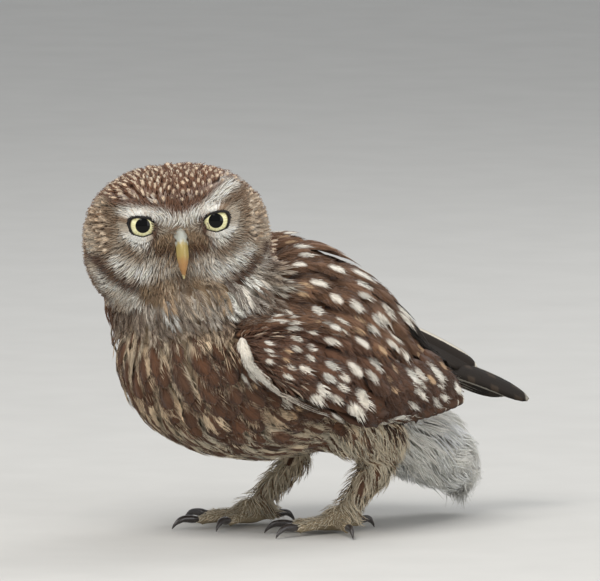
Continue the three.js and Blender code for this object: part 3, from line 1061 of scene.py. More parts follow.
class Growth:
    """Feathers gathered for one piece: their places, and the attributes that the materials read on them."""

    def __init__(self):
        self.places, self.triangles, self.values, self.count = [], [], {}, 0

    def add(self, template, places, **values):
        """Adds one template's feathers. A value has a row for each feather, or one for each corner too."""
        corners, triangles = template
        rows = len(places)
        self.places.append(places.reshape(-1, 3))
        starts = self.count + np.arange(rows)[:, None, None] * len(corners)
        self.triangles.append((triangles[None] + starts).reshape(-1, 3))
        self.count += rows * len(corners)
        for name, value in values.items():
            value = value[:, None, :] if value.ndim == 2 else value
            width = value.shape[-1]
            flat = np.broadcast_to(value, (rows, len(corners), width)).reshape(-1, width)
            self.values.setdefault(name, []).append(flat)

    def finish(self, name, material, slot, replaced=()):
        """Makes the piece."""
        places, triangles = np.vstack(self.places), np.vstack(self.triangles)
        if len(triangles) >= MOST_TRIANGLES:
            raise RuntimeError(f"{name} has {len(triangles)} triangles, too many for one piece")
        mesh = new_mesh(name, places, triangles)
        values = {key: np.vstack(parts) for key, parts in self.values.items()}
        store_bake_map(mesh, values.pop("bake"))
        for key, value in values.items():
            store(mesh, key, value)
        print(f"{name}: {len(triangles)} triangles")
        return add_piece(name, mesh, material, replaced)


# A spot too small to show, for feathers without one.
NO_SPOT = np.array([[0.0, 0.001, 0.001, 0.5]])


# Feathers on their lines: half widths and lengths in millimetres, looks, and the size of their patch on the
# bake map. The looks are the ground, the mark, and each spot's place across, half width, half length and
# place along.
Feathers = namedtuple("Feathers", "lines widths lengths looks patch")


def corner_grid(template, count):
    """The template's places across, along and up, repeated for so many feathers."""
    corners, _ = template
    return (np.broadcast_to(corners[:, i], (count, len(corners))) for i in range(3))


def bake_patch(lines, x, y, size, index=slice(None)):
    """Where corners lie on the bake map: in a small patch at their feather's root on the skin's unwrap."""
    roots = skin_surface().unwrapped(lines.roots, lines.faces)[index]
    return roots[:, None, :] + rows_of(x * 0.5, y - 0.5) * size


def add_drawn(growth, template, places, x, y, sizes, looks, bake):
    """Adds feathers with what the materials read, from each corner's place across and along its vane.

    The sizes are the half widths, the lengths and a number of each feather's own.
    """
    widths, lengths, own = (size[:, None] for size in sizes)
    ground, mark, spot = looks
    aside, wide, tall, high = (column[:, None] for column in np.broadcast_to(spot, (len(places), 4)).T)
    x = np.abs(x)
    across = x * widths
    growth.add(
        template,
        places,
        vane=rows_of(x, y, 0),
        spot=rows_of((x - aside) / wide, (y - high) / tall, 0),
        grain=rows_of((y * lengths - 1.3 * across) * 1.25, 0.25 * across, 40 * own),
        ground=ground,
        mark=mark,
        bake=bake,
    )


def add_vanes(growth, feathers, template, thickness, camber=0.1, core=1.0):
    """Vanes on their lines. The core is the share of a feather's width that its firm vane takes."""
    lines, widths, lengths, looks, patch = feathers
    count = len(lines)
    x, y, z = corner_grid(template, count)
    core = np.broadcast_to(core, count)[:, None]
    x, y = x * core, y * (0.5 + 0.5 * core)
    up = z * thickness - camber * x**2 * widths[:, None]
    places = lines.at(np.arange(count), x * widths[:, None], y, up)
    own = lines.roots[:, 0] * 0.137 + lines.roots[:, 2] * 0.211
    bake = bake_patch(lines, x, y, patch)
    add_drawn(growth, template, places, x, y, (widths, lengths, own), looks, bake)


def add_barbs_on_vanes(growth, feathers, each, random, sizes):
    """Loose barbs that leave the vanes' edges and tips, and soften their outlines."""
    lines, widths, lengths, (ground, mark, spot), patch = feathers
    barb_width, barb_length, spring = sizes
    index = np.repeat(np.arange(len(lines)), each)
    count = len(index)
    side = random.choice((-1.0, 1.0), count)
    start = 0.1 + 0.82 * random.random(count) ** 0.8
    outline = np.interp(start, VANE_STATIONS, VANE_WIDTHS)
    first = side * outline * random.uniform(0.02, 0.78, count)
    angle = np.radians(34 - 26 * start) * random.uniform(0.5, 1.3, count)
    reach = barb_length * random.uniform(0.7, 1.3, count)
    x, y, z = corner_grid(SHORT_BARB, count)
    wide, long = widths[index][:, None], lengths[index][:, None]
    out_mm = first[:, None] * wide + (side * np.sin(angle) * reach)[:, None] * y
    vane_x = out_mm / wide
    vane_y = start[:, None] + (np.cos(angle) * reach)[:, None] * y / long
    up = z * barb_width * 0.5 + 0.16 + spring * y**2 * random.uniform(-0.3, 1.0, count)[:, None]
    places = lines.at(index, out_mm + x * barb_width, vane_y, up - 0.08 * vane_x**2 * wide)
    tone = random.normal(1, 0.07, count)[:, None]
    looks = (ground[index] * tone, mark[index] * tone, np.broadcast_to(spot, (len(lines), 4))[index])
    # A barb is coloured as the vane is between its root and itself.
    drawn_x = np.clip((first[:, None] + vane_x) / 2, -1, 1)
    own = (widths[index], lengths[index], random.random(count))
    bake = bake_patch(lines, np.clip(vane_x, -1.1, 1.1), vane_y, patch, index)
    add_drawn(growth, SHORT_BARB, places, drawn_x, np.clip(vane_y, 0, 1), own, looks, bake)


def add_free_barbs(growth, lines, template, widths, lengths, ground, random, curl):
    """Hair-like barbs, each on a line of its own, in one colour."""
    count = len(lines)
    x, y, z = corner_grid(template, count)
    bend = random.normal(0, curl, count)[:, None] * y**2
    places = lines.at(np.arange(count), x * widths[:, None] + bend, y, z * widths[:, None] * 0.6)
    bake = bake_patch(lines, x, y, BARB_PATCH)
    looks = (ground, ground, NO_SPOT)
    add_drawn(growth, template, places, x, y, (widths, lengths, random.random(count)), looks, bake)


def grow_free_barbs(name, finish, slot, lines, lengths, ground, random, widths, curl, template=LONG_BARB):
    """A piece of hair-like barbs, their half widths drawn between two ends."""
    growth = Growth()
    widths = random.uniform(*widths, len(lines))
    add_free_barbs(growth, lines, template, widths, lengths, ground, random, curl)
    growth.finish(name, feather_material(*finish), slot)


def varied(colours, random, amount, warm=0.03):
    """Colours that vary from feather to feather in lightness, and a little in warmth."""
    light = random.normal(1, amount, (len(colours), 1))
    tint = random.normal(0, warm, (len(colours), 1)) * np.array([[1, 0, -1]])
    return np.clip(colours * (light + tint), 0, 1)


def shades(name, count, random, amount, warm=0.03):
    """One of the owl's colours for each of so many feathers, a little varied."""
    return varied(np.tile(colour(name), (count, 1)), random, amount, warm)


# Where each part of the coat grows, as masks over the skin's triangles.


def region(surface, name):
    """Whether each of the skin's triangles belongs to a region of the coat."""
    head = in_head(surface.face_middles)
    bird = surface.face_middles - SHIFT
    kinds = surface.face_kinds
    on_head = kinds == KIND["head"]
    face = on_head & (head[:, 1] < -5) & (head[:, 2] < crown_edge(head[:, 0]) + 0.4)
    face &= (np.abs(head[:, 0]) < 25.5) | (head[:, 2] < 2)
    if name == "face":
        return face
    if name == "crown":
        return on_head & ~face
    if name == "neck":
        return kinds == KIND["neck"]
    trunk = kinds == KIND["trunk"]
    front = (breast_share(bird) > 44) | (bird[:, 2] < 55)
    if name == "breast":
        return (trunk & front) | ((kinds == KIND["neck"]) & (head[:, 2] < -14))
    if name == "back":
        return trunk & ~front
    return kinds == KIND[name]


# Pieces.


class OWL_OT_skin(bpy.types.Operator):
    """Make one skin in place of the flesh nodes, inside them by the coat's depth"""

    bl_idname = "owl.skin"
    bl_label = "Skin"

    def execute(self, context):
        places, triangles, edges = remeshed(FLESH + BARE)
        kinds = nearest_kinds(places)
        places = spread(places, edges, 5)
        depth = spread(coat_depth(places, kinds), edges, 6) + JOIN
        places = places - vertex_normals(places, triangles) * depth[:, None]
        places = spread(places, edges, 3)
        places[:, 2] = np.maximum(places[:, 2], SKIN_FLOOR)
        surface = Surface(places, triangles, edges, kinds)
        mesh = new_mesh("skin", places, triangles)
        store(mesh, "ground", plumage_ground(places, kinds) * SKIN_SHADE)
        piece = add_piece("skin", mesh, skin_material(), FLESH)
        surface.unwrap = unwrap_skin(piece)
        SKIN["surface"] = surface
        print(f"skin: {len(triangles)} triangles")
        return {"FINISHED"}


# The eyes look straight out of the face, a little upwards.
GAZE = unit(np.array([0.0, -1.0, 0.09]))


def eye_frame(hand):
    """Centre, outer side, top and gaze of an eye, in the bird's frame."""
    centre = on_head([[hand * EYE_SIDE, -EYE_DEPTH, EYE_HEIGHT]])[0]
    side = np.array([hand, 0.0, 0.0])
    top = unit(np.cross(GAZE, np.cross(np.array([0.0, 0.0, 1.0]), GAZE)))
    return centre, HEAD_AXES @ side, HEAD_AXES @ top, HEAD_AXES @ GAZE


def make_eye(name, hand):
    """An eyeball, with its distance from the gaze's line kept for the iris."""
    centre, side, top, gaze = eye_frame(hand)
    rings, sectors = 39, 64
    angles = np.linspace(0, math.pi, rings + 2)[1:-1]
    turns = np.linspace(0, 2 * math.pi, sectors, endpoint=False)
    a, t = np.meshgrid(angles, turns, indexing="ij")
    # The cornea bulges a little over the iris.
    radius = EYE_RADIUS - 0.12 + 0.1 * near(a, 0.55)
    local = rows_of(np.sin(a) * np.cos(t), np.sin(a) * np.sin(t), np.cos(a)) * radius[..., None]
    poles = [[0, 0, EYE_RADIUS - 0.02], [0, 0, -EYE_RADIUS + 0.12]]
    local = np.vstack([local.reshape(-1, 3), poles])
    places = centre + local @ np.stack([side * hand, top, gaze])
    mesh = new_mesh("eye_" + name, places, outward(places, tube_triangles(rings, sectors, False)))
    reach = np.where(local[:, 2] < 0, EYE_RADIUS, np.hypot(local[:, 0], local[:, 1]))
    store(mesh, "iris", rows_of(np.abs(np.arctan2(local[:, 1], local[:, 0])), reach, local[:, 1]))
    return add_piece(f"eye_{name}_ball", mesh, eye_material(), ["eye_" + name])


# The lids' edge round each eye: millimetres outwards and up from the gaze's line, against the clock.
LID_EDGE = (
    (5.2, 0.9),
    (4.5, 2.7),
    (1.9, 3.15),
    (-2.3, 2.35),
    (-4.4, 0.5),
    (-5.3, -1.2),
    (-3.5, -3.1),
    (0.2, -4.2),
    (3.9, -3.0),
)


def lid_opening(turns):
    """Distance of the lids' edge from the gaze's line by the turn from the outer side, over the top."""
    corners = np.array(LID_EDGE + LID_EDGE[:1])
    steps = np.linspace(0, 1, 16, endpoint=False)[:, None]
    edge = np.vstack([a + (b - a) * steps for a, b in zip(corners, corners[1:])])
    angles = np.arctan2(edge[:, 1], edge[:, 0])
    fine = np.linspace(-math.pi, math.pi, 180, endpoint=False)
    radii = np.interp(fine, angles, np.hypot(edge[:, 0], edge[:, 1]), period=2 * math.pi)
    for _ in range(12):
        radii = (np.roll(radii, 1) + radii * 2 + np.roll(radii, -1)) / 4
    return np.interp(turns, fine, radii, period=2 * math.pi)


def lid_width(turns):
    """Width of the lids' bare rim: narrow below, wider above and at both corners. Above, the black rim is
    partly the lid's own skin and partly painted shade over the eye.
    """
    corners = near(1 - np.abs(np.cos(turns + 0.2)), 0.1)
    return 0.5 + 0.7 * rise(np.sin(turns), -0.1, 0.6) + 0.5 * corners


# The lids' section: steps outwards from their edge in widths of the rim, and millimetres over the eyeball.
LID_SECTION = (
    (0, -0.25),
    (-0.1, 0.1),
    (0.15, 0.36),
    (0.6, 0.48),
    (1.1, 0.42),
    (1.6, 0.0),
    (1.7, -1.0),
    (0.9, -0.9),
)


def make_lids(name, hand):
    """A closed rim of lid skin round the eye, from a rounded edge back into the coat."""
    centre, side, top, gaze = eye_frame(hand)
    sectors = 96
    turns = np.linspace(0, 2 * math.pi, sectors, endpoint=False)
    step, over = np.array(LID_SECTION).T[..., None]
    reach = lid_opening(turns) + step * lid_width(turns)
    deep = np.sqrt(np.maximum((EYE_RADIUS + over) ** 2 - reach**2, 4.0))
    local = rows_of(np.cos(turns) * reach, np.sin(turns) * reach, deep).reshape(-1, 3)
    places = centre + local @ np.stack([side, top, gaze])
    triangles = outward(places, tube_triangles(len(LID_SECTION), sectors, True))
    return add_piece("lids_" + name, new_mesh("lids_" + name, places, triangles), lid_material())


def lid_lines(surface, hand, count, random):
    """Lines of the small feathers that stand round an eye and point away from it."""
    centre, side, top, gaze = eye_frame(hand)
    turns = random.uniform(0, 2 * math.pi, count)
    start = lid_opening(turns) + lid_width(turns) * random.uniform(0.75, 1.3, count)
    reach = start[:, None] + np.linspace(0, 1, 4) * random.uniform(2.0, 3.2, count)[:, None]
    shell = EYE_RADIUS + 0.5
    deep = np.sqrt(np.maximum(shell**2 - reach**2, 0))
    local = rows_of(np.cos(turns)[:, None] * reach, np.sin(turns)[:, None] * reach, deep)
    places = centre + local @ np.stack([side, top, gaze])
    flat = places.reshape(-1, 3)
    on_skin, faces = surface.nearest(flat)
    raised = on_skin + surface.face_normals[faces] * 1.5
    ahead = ((raised - flat) @ gaze > 0)[:, None]
    places = np.where(ahead, raised, flat).reshape(places.shape)
    ups = unit(places - centre) * 0.5 + gaze * 0.5
    faces = faces.reshape(count, 4)
    return Lines(places, unit(ups), on_skin.reshape(places.shape)[:, 0], faces[:, 0])


class OWL_OT_eyes(bpy.types.Operator):
    """Make the eyes and the rims of their lids"""

    bl_idname = "owl.eyes"
    bl_label = "Eyes"

    def execute(self, context):
        for name, hand in SIDES:
            make_eye(name, hand)
            make_lids(name, hand)
        return {"FINISHED"}


def swept(spine, across, stations, sides, section=None):
    """A closed body along a spine, with its sizes from stations, and one point at each end.

    It also gives each corner's place along the body and its turn about the spine.
    """
    centres, along = spine
    count = len(centres)
    wide, up, down = along_stations(stations, count)[..., None]
    side = unit(across - along * (along @ across)[:, None])
    top = np.cross(side, along)
    turns = np.linspace(0, 2 * math.pi, sides, endpoint=False)
    shape = section(turns) if section else 1.0
    out = np.cos(turns) * wide * shape
    high = np.sin(turns) * np.where(np.sin(turns) > 0, up, down) * shape
    places = centres[:, None] + side[:, None] * out[..., None] + top[:, None] * high[..., None]
    first, last = centres[:1] - along[:1] * wide[0] * 0.3, centres[-1:] + along[-1:] * wide[-1] * 0.5
    body = np.vstack([places.reshape(-1, 3), first, last])
    share = np.append(np.repeat(np.linspace(0, 1, count), sides), [0, 1])
    turned = np.append(np.tile(turns, count), [0, 0])
    return body, outward(body, tube_triangles(count, sides, False)), share, turned


def outward(places, triangles):
    """Triangles turned so that their closed surface faces outwards."""
    a, b, c = (places[triangles[:, i]] for i in range(3))
    volume = (a * np.cross(b, c)).sum() / 6
    return triangles if volume > 0 else triangles[:, ::-1]


def along_stations(stations, count):
    """Sizes along a body, smoothly through its stations: each is a place from 0 to 1 and the sizes there."""
    stations = np.array(stations, float)
    knots, sizes = stations[:, 0], stations[:, 1:]
    at = np.linspace(0, 1, count)
    k = np.clip(np.searchsorted(knots, at) - 1, 0, len(knots) - 2)
    straight = np.clip((at - knots[k]) / (knots[k + 1] - knots[k]), 0, 1)
    t = 0.5 * rise(at, knots[k], knots[k + 1]) + 0.5 * straight
    return blend(sizes[k], sizes[k + 1], t).T


# Stations of the bill's halves: places along them, half widths, and half heights above and below the spine.
UPPER_STATIONS = (
    (0.0, 2.2, 2.2, 2.6),
    (0.2, 2.3, 2.7, 3.4),
    (0.4, 2.05, 2.3, 3.5),
    (0.55, 2.35, 2.0, 3.4),
    (0.66, 2.35, 1.8, 3.1),
    (0.75, 1.95, 1.5, 2.7),
    (0.83, 1.4, 1.2, 2.1),
    (0.9, 0.92, 0.9, 1.4),
    (1.0, 0.3, 0.35, 0.4),
)
LOWER_STATIONS = ((0.0, 2.0, 1.4, 1.4), (0.35, 2.4, 1.9, 1.9), (0.75, 1.7, 1.4, 1.6), (1.0, 0.6, 0.6, 0.6))

# Spines of the bill's halves in the head's middle plane: places back, and up from the bill's base.
UPPER_ROUTE = (
    (-18, 0.5),
    (-26, -0.5),
    (-30.4, -4),
    (-BILL_REACH + 1.6, -10),
    (-BILL_REACH + 2, -BILL_LENGTH),
)
LOWER_ROUTE = ((-20, -8.7), (-26, -10.2), (-28.8, -13.5))


def bill_body(route, stations, count, sides, section=None):
    """A body along a route in the head's middle plane."""
    spine = smooth_curve(on_head([(0, y, BILL_BASE + z) for y, z in route]), count)
    return swept(spine, HEAD_AXES[:, 0], stations, sides, section)


def ridged(turns):
    """A narrow ridge on top of the bill and a sharp cutting edge below each side."""
    ridge = 0.16 * near(np.abs(turns - math.pi / 2), 0.35)
    return 1 + ridge - 0.07 * near(np.abs(np.abs(turns - 1.5 * math.pi) - 0.9), 0.3)


def make_bill():
    """The bill's hooked upper half with its cere and nostrils, and the lower half behind it."""
    places, triangles, share, turned = bill_body(UPPER_ROUTE, UPPER_STATIONS, 64, 40, ridged)
    # The cere swells round each nostril, and ends in a step where the horn begins.
    local = in_head(places)
    front = local[:, 1] < -24
    nostril = np.hypot(np.abs(local[:, 0]) - 2.2, local[:, 2] - 6.0)
    swell = (0.45 * near(nostril, 1.5) - 1.0 * near(nostril, 0.5)) * front
    cere = 0.18 * (1 - rise(share, 0.47, 0.51))
    places = places + vertex_normals(places, triangles) * (swell + cere)[:, None]
    mesh = new_mesh("bill_upper", places, triangles)
    store(mesh, "horn", rows_of(share, (1 - np.sin(turned)) / 2, near(nostril, 0.6) * front))
    add_piece("bill_upper_horn", mesh, bill_material(), ["bill_upper"])
    places, triangles, share, _ = bill_body(LOWER_ROUTE, LOWER_STATIONS, 24, 28)
    mesh = new_mesh("bill_lower", places, triangles)
    store(mesh, "horn", rows_of(0.55 + 0.3 * share, 0.6, 0))
    add_piece("bill_lower_horn", mesh, bill_material(), ["bill_lower"])


class OWL_OT_bill(bpy.types.Operator):
    """Make both halves of the bill"""

    bl_idname = "owl.bill"
    bl_label = "Bill"

    def execute(self, context):
        make_bill()
        return {"FINISHED"}


# Toe lengths, headings in degrees outwards from forward, and claw lengths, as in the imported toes.
TOE_SIZES = {"inner": (17, -26, 10), "middle": (22, 8, 10.5), "outer": (17, 64, 9), "hind": (10, 188, 8)}
TOE_CENTRE, CLAW_RADIUS = 2.9, 1.6


# Stations of a claw: places along it, half widths, and half heights above and below its spine.
CLAW_STATIONS = (
    (0.0, 1.3, 1.3, 1.3),
    (0.2, CLAW_RADIUS, CLAW_RADIUS, CLAW_RADIUS),
    (0.6, 1.1, 1.2, 1.2),
    (0.9, 0.45, 0.5, 0.5),
    (1.0, 0.12, 0.15, 0.15),
)


def claw_shape(name, hand, key):
    """A claw that arches from the toe's end down to the floor."""
    toe, heading, claw = TOE_SIZES[key]
    turn = math.radians(heading)
    ahead = np.array([hand * math.sin(turn), -math.cos(turn), 0.0])
    across = np.array([-ahead[1], ahead[0], 0.0])
    end = toe + 4
    route = (
        (end - 3, TOE_CENTRE + 0.6),
        (end + claw * 0.3, TOE_CENTRE + 1.0),
        (end + claw * 0.62, TOE_CENTRE - 0.6),
        (end + claw * 0.78, 0.35),
    )
    foot = box_middle("foot_" + name) * (1, 1, 0)
    spine = [foot + ahead * far + np.array([0, 0, high]) for far, high in route]
    return swept(smooth_curve(spine, 22), across, CLAW_STATIONS, 18)


class OWL_OT_claws(bpy.types.Operator):
    """Make the eight claws"""

    bl_idname = "owl.claws"
    bl_label = "Claws"

    def execute(self, context):
        for name, hand in SIDES:
            for key in TOES:
                places, triangles, _, _ = claw_shape(name, hand, key)
                places[:, 2] = np.maximum(places[:, 2], CLAW_FLOOR)
                node = f"claw_{name}_{key}"
                mesh = new_mesh(node + "_horn", places, triangles)
                add_piece(node + "_horn", mesh, claw_material(), [node])
        return {"FINISHED"}


def bristle_tree():
    """Geometry nodes that set a thin curved bristle on each point of a mesh, along its own direction."""
    tree = bpy.data.node_groups.new("bristles", "GeometryNodeTree")
    sockets = (("Geometry", "Geometry"), ("Thickness", "Float"), ("Bend", "Float"))
    for name, kind in sockets:
        tree.interface.new_socket(name, in_out="INPUT", socket_type="NodeSocket" + kind)
    tree.interface.new_socket("Geometry", in_out="OUTPUT", socket_type="NodeSocketGeometry")
    points, thickness, bend = add_node(tree, "NodeGroupInput").outputs[:3]
    lie, droop, long = (
        add_node(tree, "GeometryNodeInputNamedAttribute", {"Name": name}, data_type=kind)
        for name, kind in (("lie", "FLOAT_VECTOR"), ("droop", "FLOAT_VECTOR"), ("long", "FLOAT"))
    )
    end = add_node(tree, "CombineXYZ", {0: bend, 2: 1.0})
    ends = {"Start": (0.0, 0.0, 0.0), "Middle": (0.0, 0.0, 0.5), "End": end}
    shaft = add_node(tree, "GeometryNodeCurveQuadraticBezier", {"Resolution": 5, **ends})
    along = add_node(tree, "GeometryNodeSplineParameter")
    taper = add_node(tree, "Math", {0: along, 1: -0.85, 2: 1.0}, operation="MULTIPLY_ADD")
    shaped = add_node(tree, "GeometryNodeSetCurveRadius", {"Curve": shaft, "Radius": taper})
    ring = add_node(tree, "GeometryNodeCurvePrimitiveCircle", {"Resolution": 3, "Radius": thickness})
    solid = {"Curve": shaped, "Profile Curve": ring, "Scale": taper, "Fill Caps": True}
    bristle = add_node(tree, "GeometryNodeCurveToMesh", solid)
    turned = add_node(
        tree, "FunctionNodeAxesToRotation", {0: lie, 1: droop}, primary_axis="Z", secondary_axis="X"
    )
    set_out = {"Points": points, "Instance": bristle, "Rotation": turned, "Scale": long}
    placed = add_node(tree, "GeometryNodeInstanceOnPoints", set_out)
    real = add_node(tree, "GeometryNodeRealizeInstances", {0: placed})
    dressed = add_node(tree, "GeometryNodeSetMaterial", {"Geometry": real, "Material": bristle_material()})
    add_node(tree, "NodeGroupOutput", {0: dressed})
    return tree


def grown_by_nodes(points, tree, settings):
    """The mesh that a node tree makes of an object, as a plain mesh."""
    modifier = points.modifiers.new("growth", "NODES")
    modifier.node_group = tree
    for item in tree.interface.items_tree:
        if item.item_type == "SOCKET" and item.in_out == "INPUT" and item.name in settings:
            modifier[item.identifier] = settings[item.name]
    bpy.context.view_layer.update()
    depsgraph = bpy.context.evaluated_depsgraph_get()
    evaluated = points.evaluated_get(depsgraph)
    mesh = bpy.data.meshes.new_from_object(evaluated, preserve_all_data_layers=True, depsgraph=depsgraph)
    bpy.data.objects.remove(points)
    return mesh


class OWL_OT_bristles(bpy.types.Operator):
    """Set the stiff bristles that hide the base of the bill"""

    bl_idname = "owl.bristles"
    bl_label = "Bristles"

    def execute(self, context):
        surface = skin_surface()
        random = draws(30)
        head = in_head(surface.face_middles)
        out, high = np.abs(head[:, 0]), head[:, 2]
        beside = (out > 1.8) & (out < 7) & (high > -3.5) & (high < 7.5)
        above = (out < 4.5) & (high >= 6.5) & (high < 12)
        roots, faces = scatter(surface, (head[:, 1] < -16) & (beside | above), 0.8, 31)
        count = len(roots)
        local = in_head(roots)
        side = np.sign(local[:, 0])
        inner = rise(-np.abs(local[:, 0]), -6, -3)
        spread_out = 0.5 - 0.35 * inner + random.normal(0, 0.12, count)
        ahead = -0.75 + random.normal(0, 0.1, count)
        lie = rows_of(side * spread_out, ahead, -0.5 + random.normal(0, 0.15, count))
        lie = unit(unit(lie) @ HEAD_AXES.T + 0.3 * surface.face_normals[faces])
        droop = rows_of(side * 0.4, 0, -1) @ HEAD_AXES.T
        mesh = bpy.data.meshes.new("bristle roots")
        mesh.from_pydata((roots * METRES).tolist(), [], [])
        tan = shades("throat_tan", count, random, 0.16)
        brown = shades("disc_brown", count, random, 0.16)
        tone = np.where(random.random((count, 1)) < 0.5, tan, brown)
        long = random.uniform(3.2, 5.6, count) * (1 - 0.4 * rise(local[:, 2], 5, 8))
        store(mesh, "ground", tone)
        store(mesh, "lie", lie)
        store(mesh, "droop", unit(droop))
        store(mesh, "long", long * METRES)
        store(mesh, "bake", np.column_stack([surface.unwrapped(roots, faces), np.zeros(count)]))
        points = add_object("bristle roots", mesh)
        grown = grown_by_nodes(points, bristle_tree(), {"Thickness": 0.022, "Bend": 0.45})
        bake = np.empty(3 * len(grown.vertices), np.float32)
        grown.attributes["bake"].data.foreach_get("vector", bake)
        spots = random.uniform(-0.0015, 0.0015, (len(grown.vertices), 2))
        store_bake_map(grown, bake.reshape(-1, 3)[:, :2] + spots)
        add_piece("rictal_bristles", grown, bristle_material())
        print(f"rictal_bristles: {len(grown.polygons)} faces")
        return {"FINISHED"}


class OWL_OT_face(bpy.types.Operator):
    """Grow the fine barbs of the face: discs, brows, lores, chin and ruff"""

    bl_idname = "owl.face"
    bl_label = "Face"

    def execute(self, context):
        surface = skin_surface()
        random = draws(1)
        mask = region(surface, "face")
        roots, faces = scatter(surface, mask, 0.55, 2)
        clumps, _ = scatter(surface, mask, 2.8, 33)
        clump = np.argmin(((roots[:, None] - clumps[None]) ** 2).sum(2), axis=1)
        head = in_head(roots)
        out = np.abs(head[:, 0])
        centre = np.hypot(out - EYE_SIDE, head[:, 2] - EYE_HEIGHT)
        short = 0.6 + 0.4 * rise(centre, 6, 16)
        lengths = 4.6 * short * random.uniform(0.8, 1.25, len(roots))
        lift = 0.3 * random.random(len(roots))
        lift = lift + 0.5 * random.random(len(clumps))[clump] * rise(centre, 14, 20)
        yaw = random.normal(0, 0.16, len(clumps))[clump]
        lines = run_lines(surface, roots, faces, lengths, 3, lift, random, 0.11, yaw)
        ground = varied(face_colours(lines.centres[:, 3]), random, 0.08)
        # Away from the eyes the small feathers show, each a little browner or paler than the next.
        outer = np.maximum(rise(out, 20, 26), rise(-head[:, 2], 6, 12))
        browner = rise(random.random(len(clumps))[clump], 0.62, 0.7) * outer
        paler = rise(random.random(len(clumps))[clump], 0.66, 0.74) * outer
        ground = blend(ground, colour("disc_brown"), browner * 0.55)
        ground = blend(ground, colour("crown_cream"), paler * 0.55)
        streaky = random.random(len(roots)) < 0.12
        ground[streaky] = blend(ground, colour("disc_brown"), 0.45)[streaky]
        growth = Growth()
        widths = random.uniform(0.13, 0.23, len(roots))
        add_free_barbs(growth, lines, LONG_BARB, widths, lengths, ground, random, 0.2)
        for _, hand in SIDES:
            lines = lid_lines(surface, hand, 560, random)
            lengths = np.full(len(lines), 2.6)
            ground = varied(face_colours(lines.centres[:, 3]), random, 0.1)
            widths = random.uniform(0.1, 0.18, len(lines))
            add_free_barbs(growth, lines, LONG_BARB, widths, lengths, ground, random, 0.1)
        growth.finish("face_barbs", feather_material(*LOOSE_BARBS), "plumage_pale")
        return {"FINISHED"}


class OWL_OT_crown(bpy.types.Operator):
    """Grow the drop-marked feathers of the crown, the sides of the head and the nape"""

    bl_idname = "owl.crown"
    bl_label = "Crown"

    def execute(self, context):
        surface = skin_surface()
        random = draws(3)
        middles = in_head(surface.face_middles)
        spacing = 1.95 + 2.3 * rise(middles[:, 1], -12, 24)
        roots, faces = scatter(surface, region(surface, "crown"), spacing, 4)
        head = in_head(roots)
        back = rise(head[:, 1], -12, 24)
        count = len(roots)
        low = rise(crown_edge(head[:, 0]) - head[:, 2], -5, -1) * (1 - back)
        lengths = (4.8 + 8.0 * back - 1.8 * low) * random.uniform(0.9, 1.1, count)
        widths = (1.4 + 2.2 * back) * random.uniform(0.9, 1.1, count)
        lines = run_lines(surface, roots, faces, lengths, 4, 0.2, random, 0.14)
        ground = varied(face_colours(roots), random, 0.09)
        mark = shades("crown_cream", count, random, 0.1)
        aside = rise(-head[:, 0], 2, 14) + rise(head[:, 0], 22, 27)
        wide = random.uniform(0.26, 0.46, count) * (1 - 0.25 * back)
        tall = random.uniform(0.18, 0.27, count) * (1 + 0.6 * aside)
        spot = rows_of(0.0, wide, tall, random.uniform(0.6, 0.72, count) - 0.12 * low)
        feathers = Feathers(lines, widths, lengths, (ground, mark, spot), 0.007)
        material = feather_material(*BODY_VANES)
        growth = Growth()
        add_vanes(growth, feathers, DROP_VANE, 0.14, core=0.85)
        growth.finish("crown_feathers", material, "plumage_brown")
        growth = Growth()
        add_barbs_on_vanes(growth, feathers, 16, random, (0.12, 2.0, 0.2))
        growth.finish("crown_barbs", material, "plumage_brown")
        return {"FINISHED"}


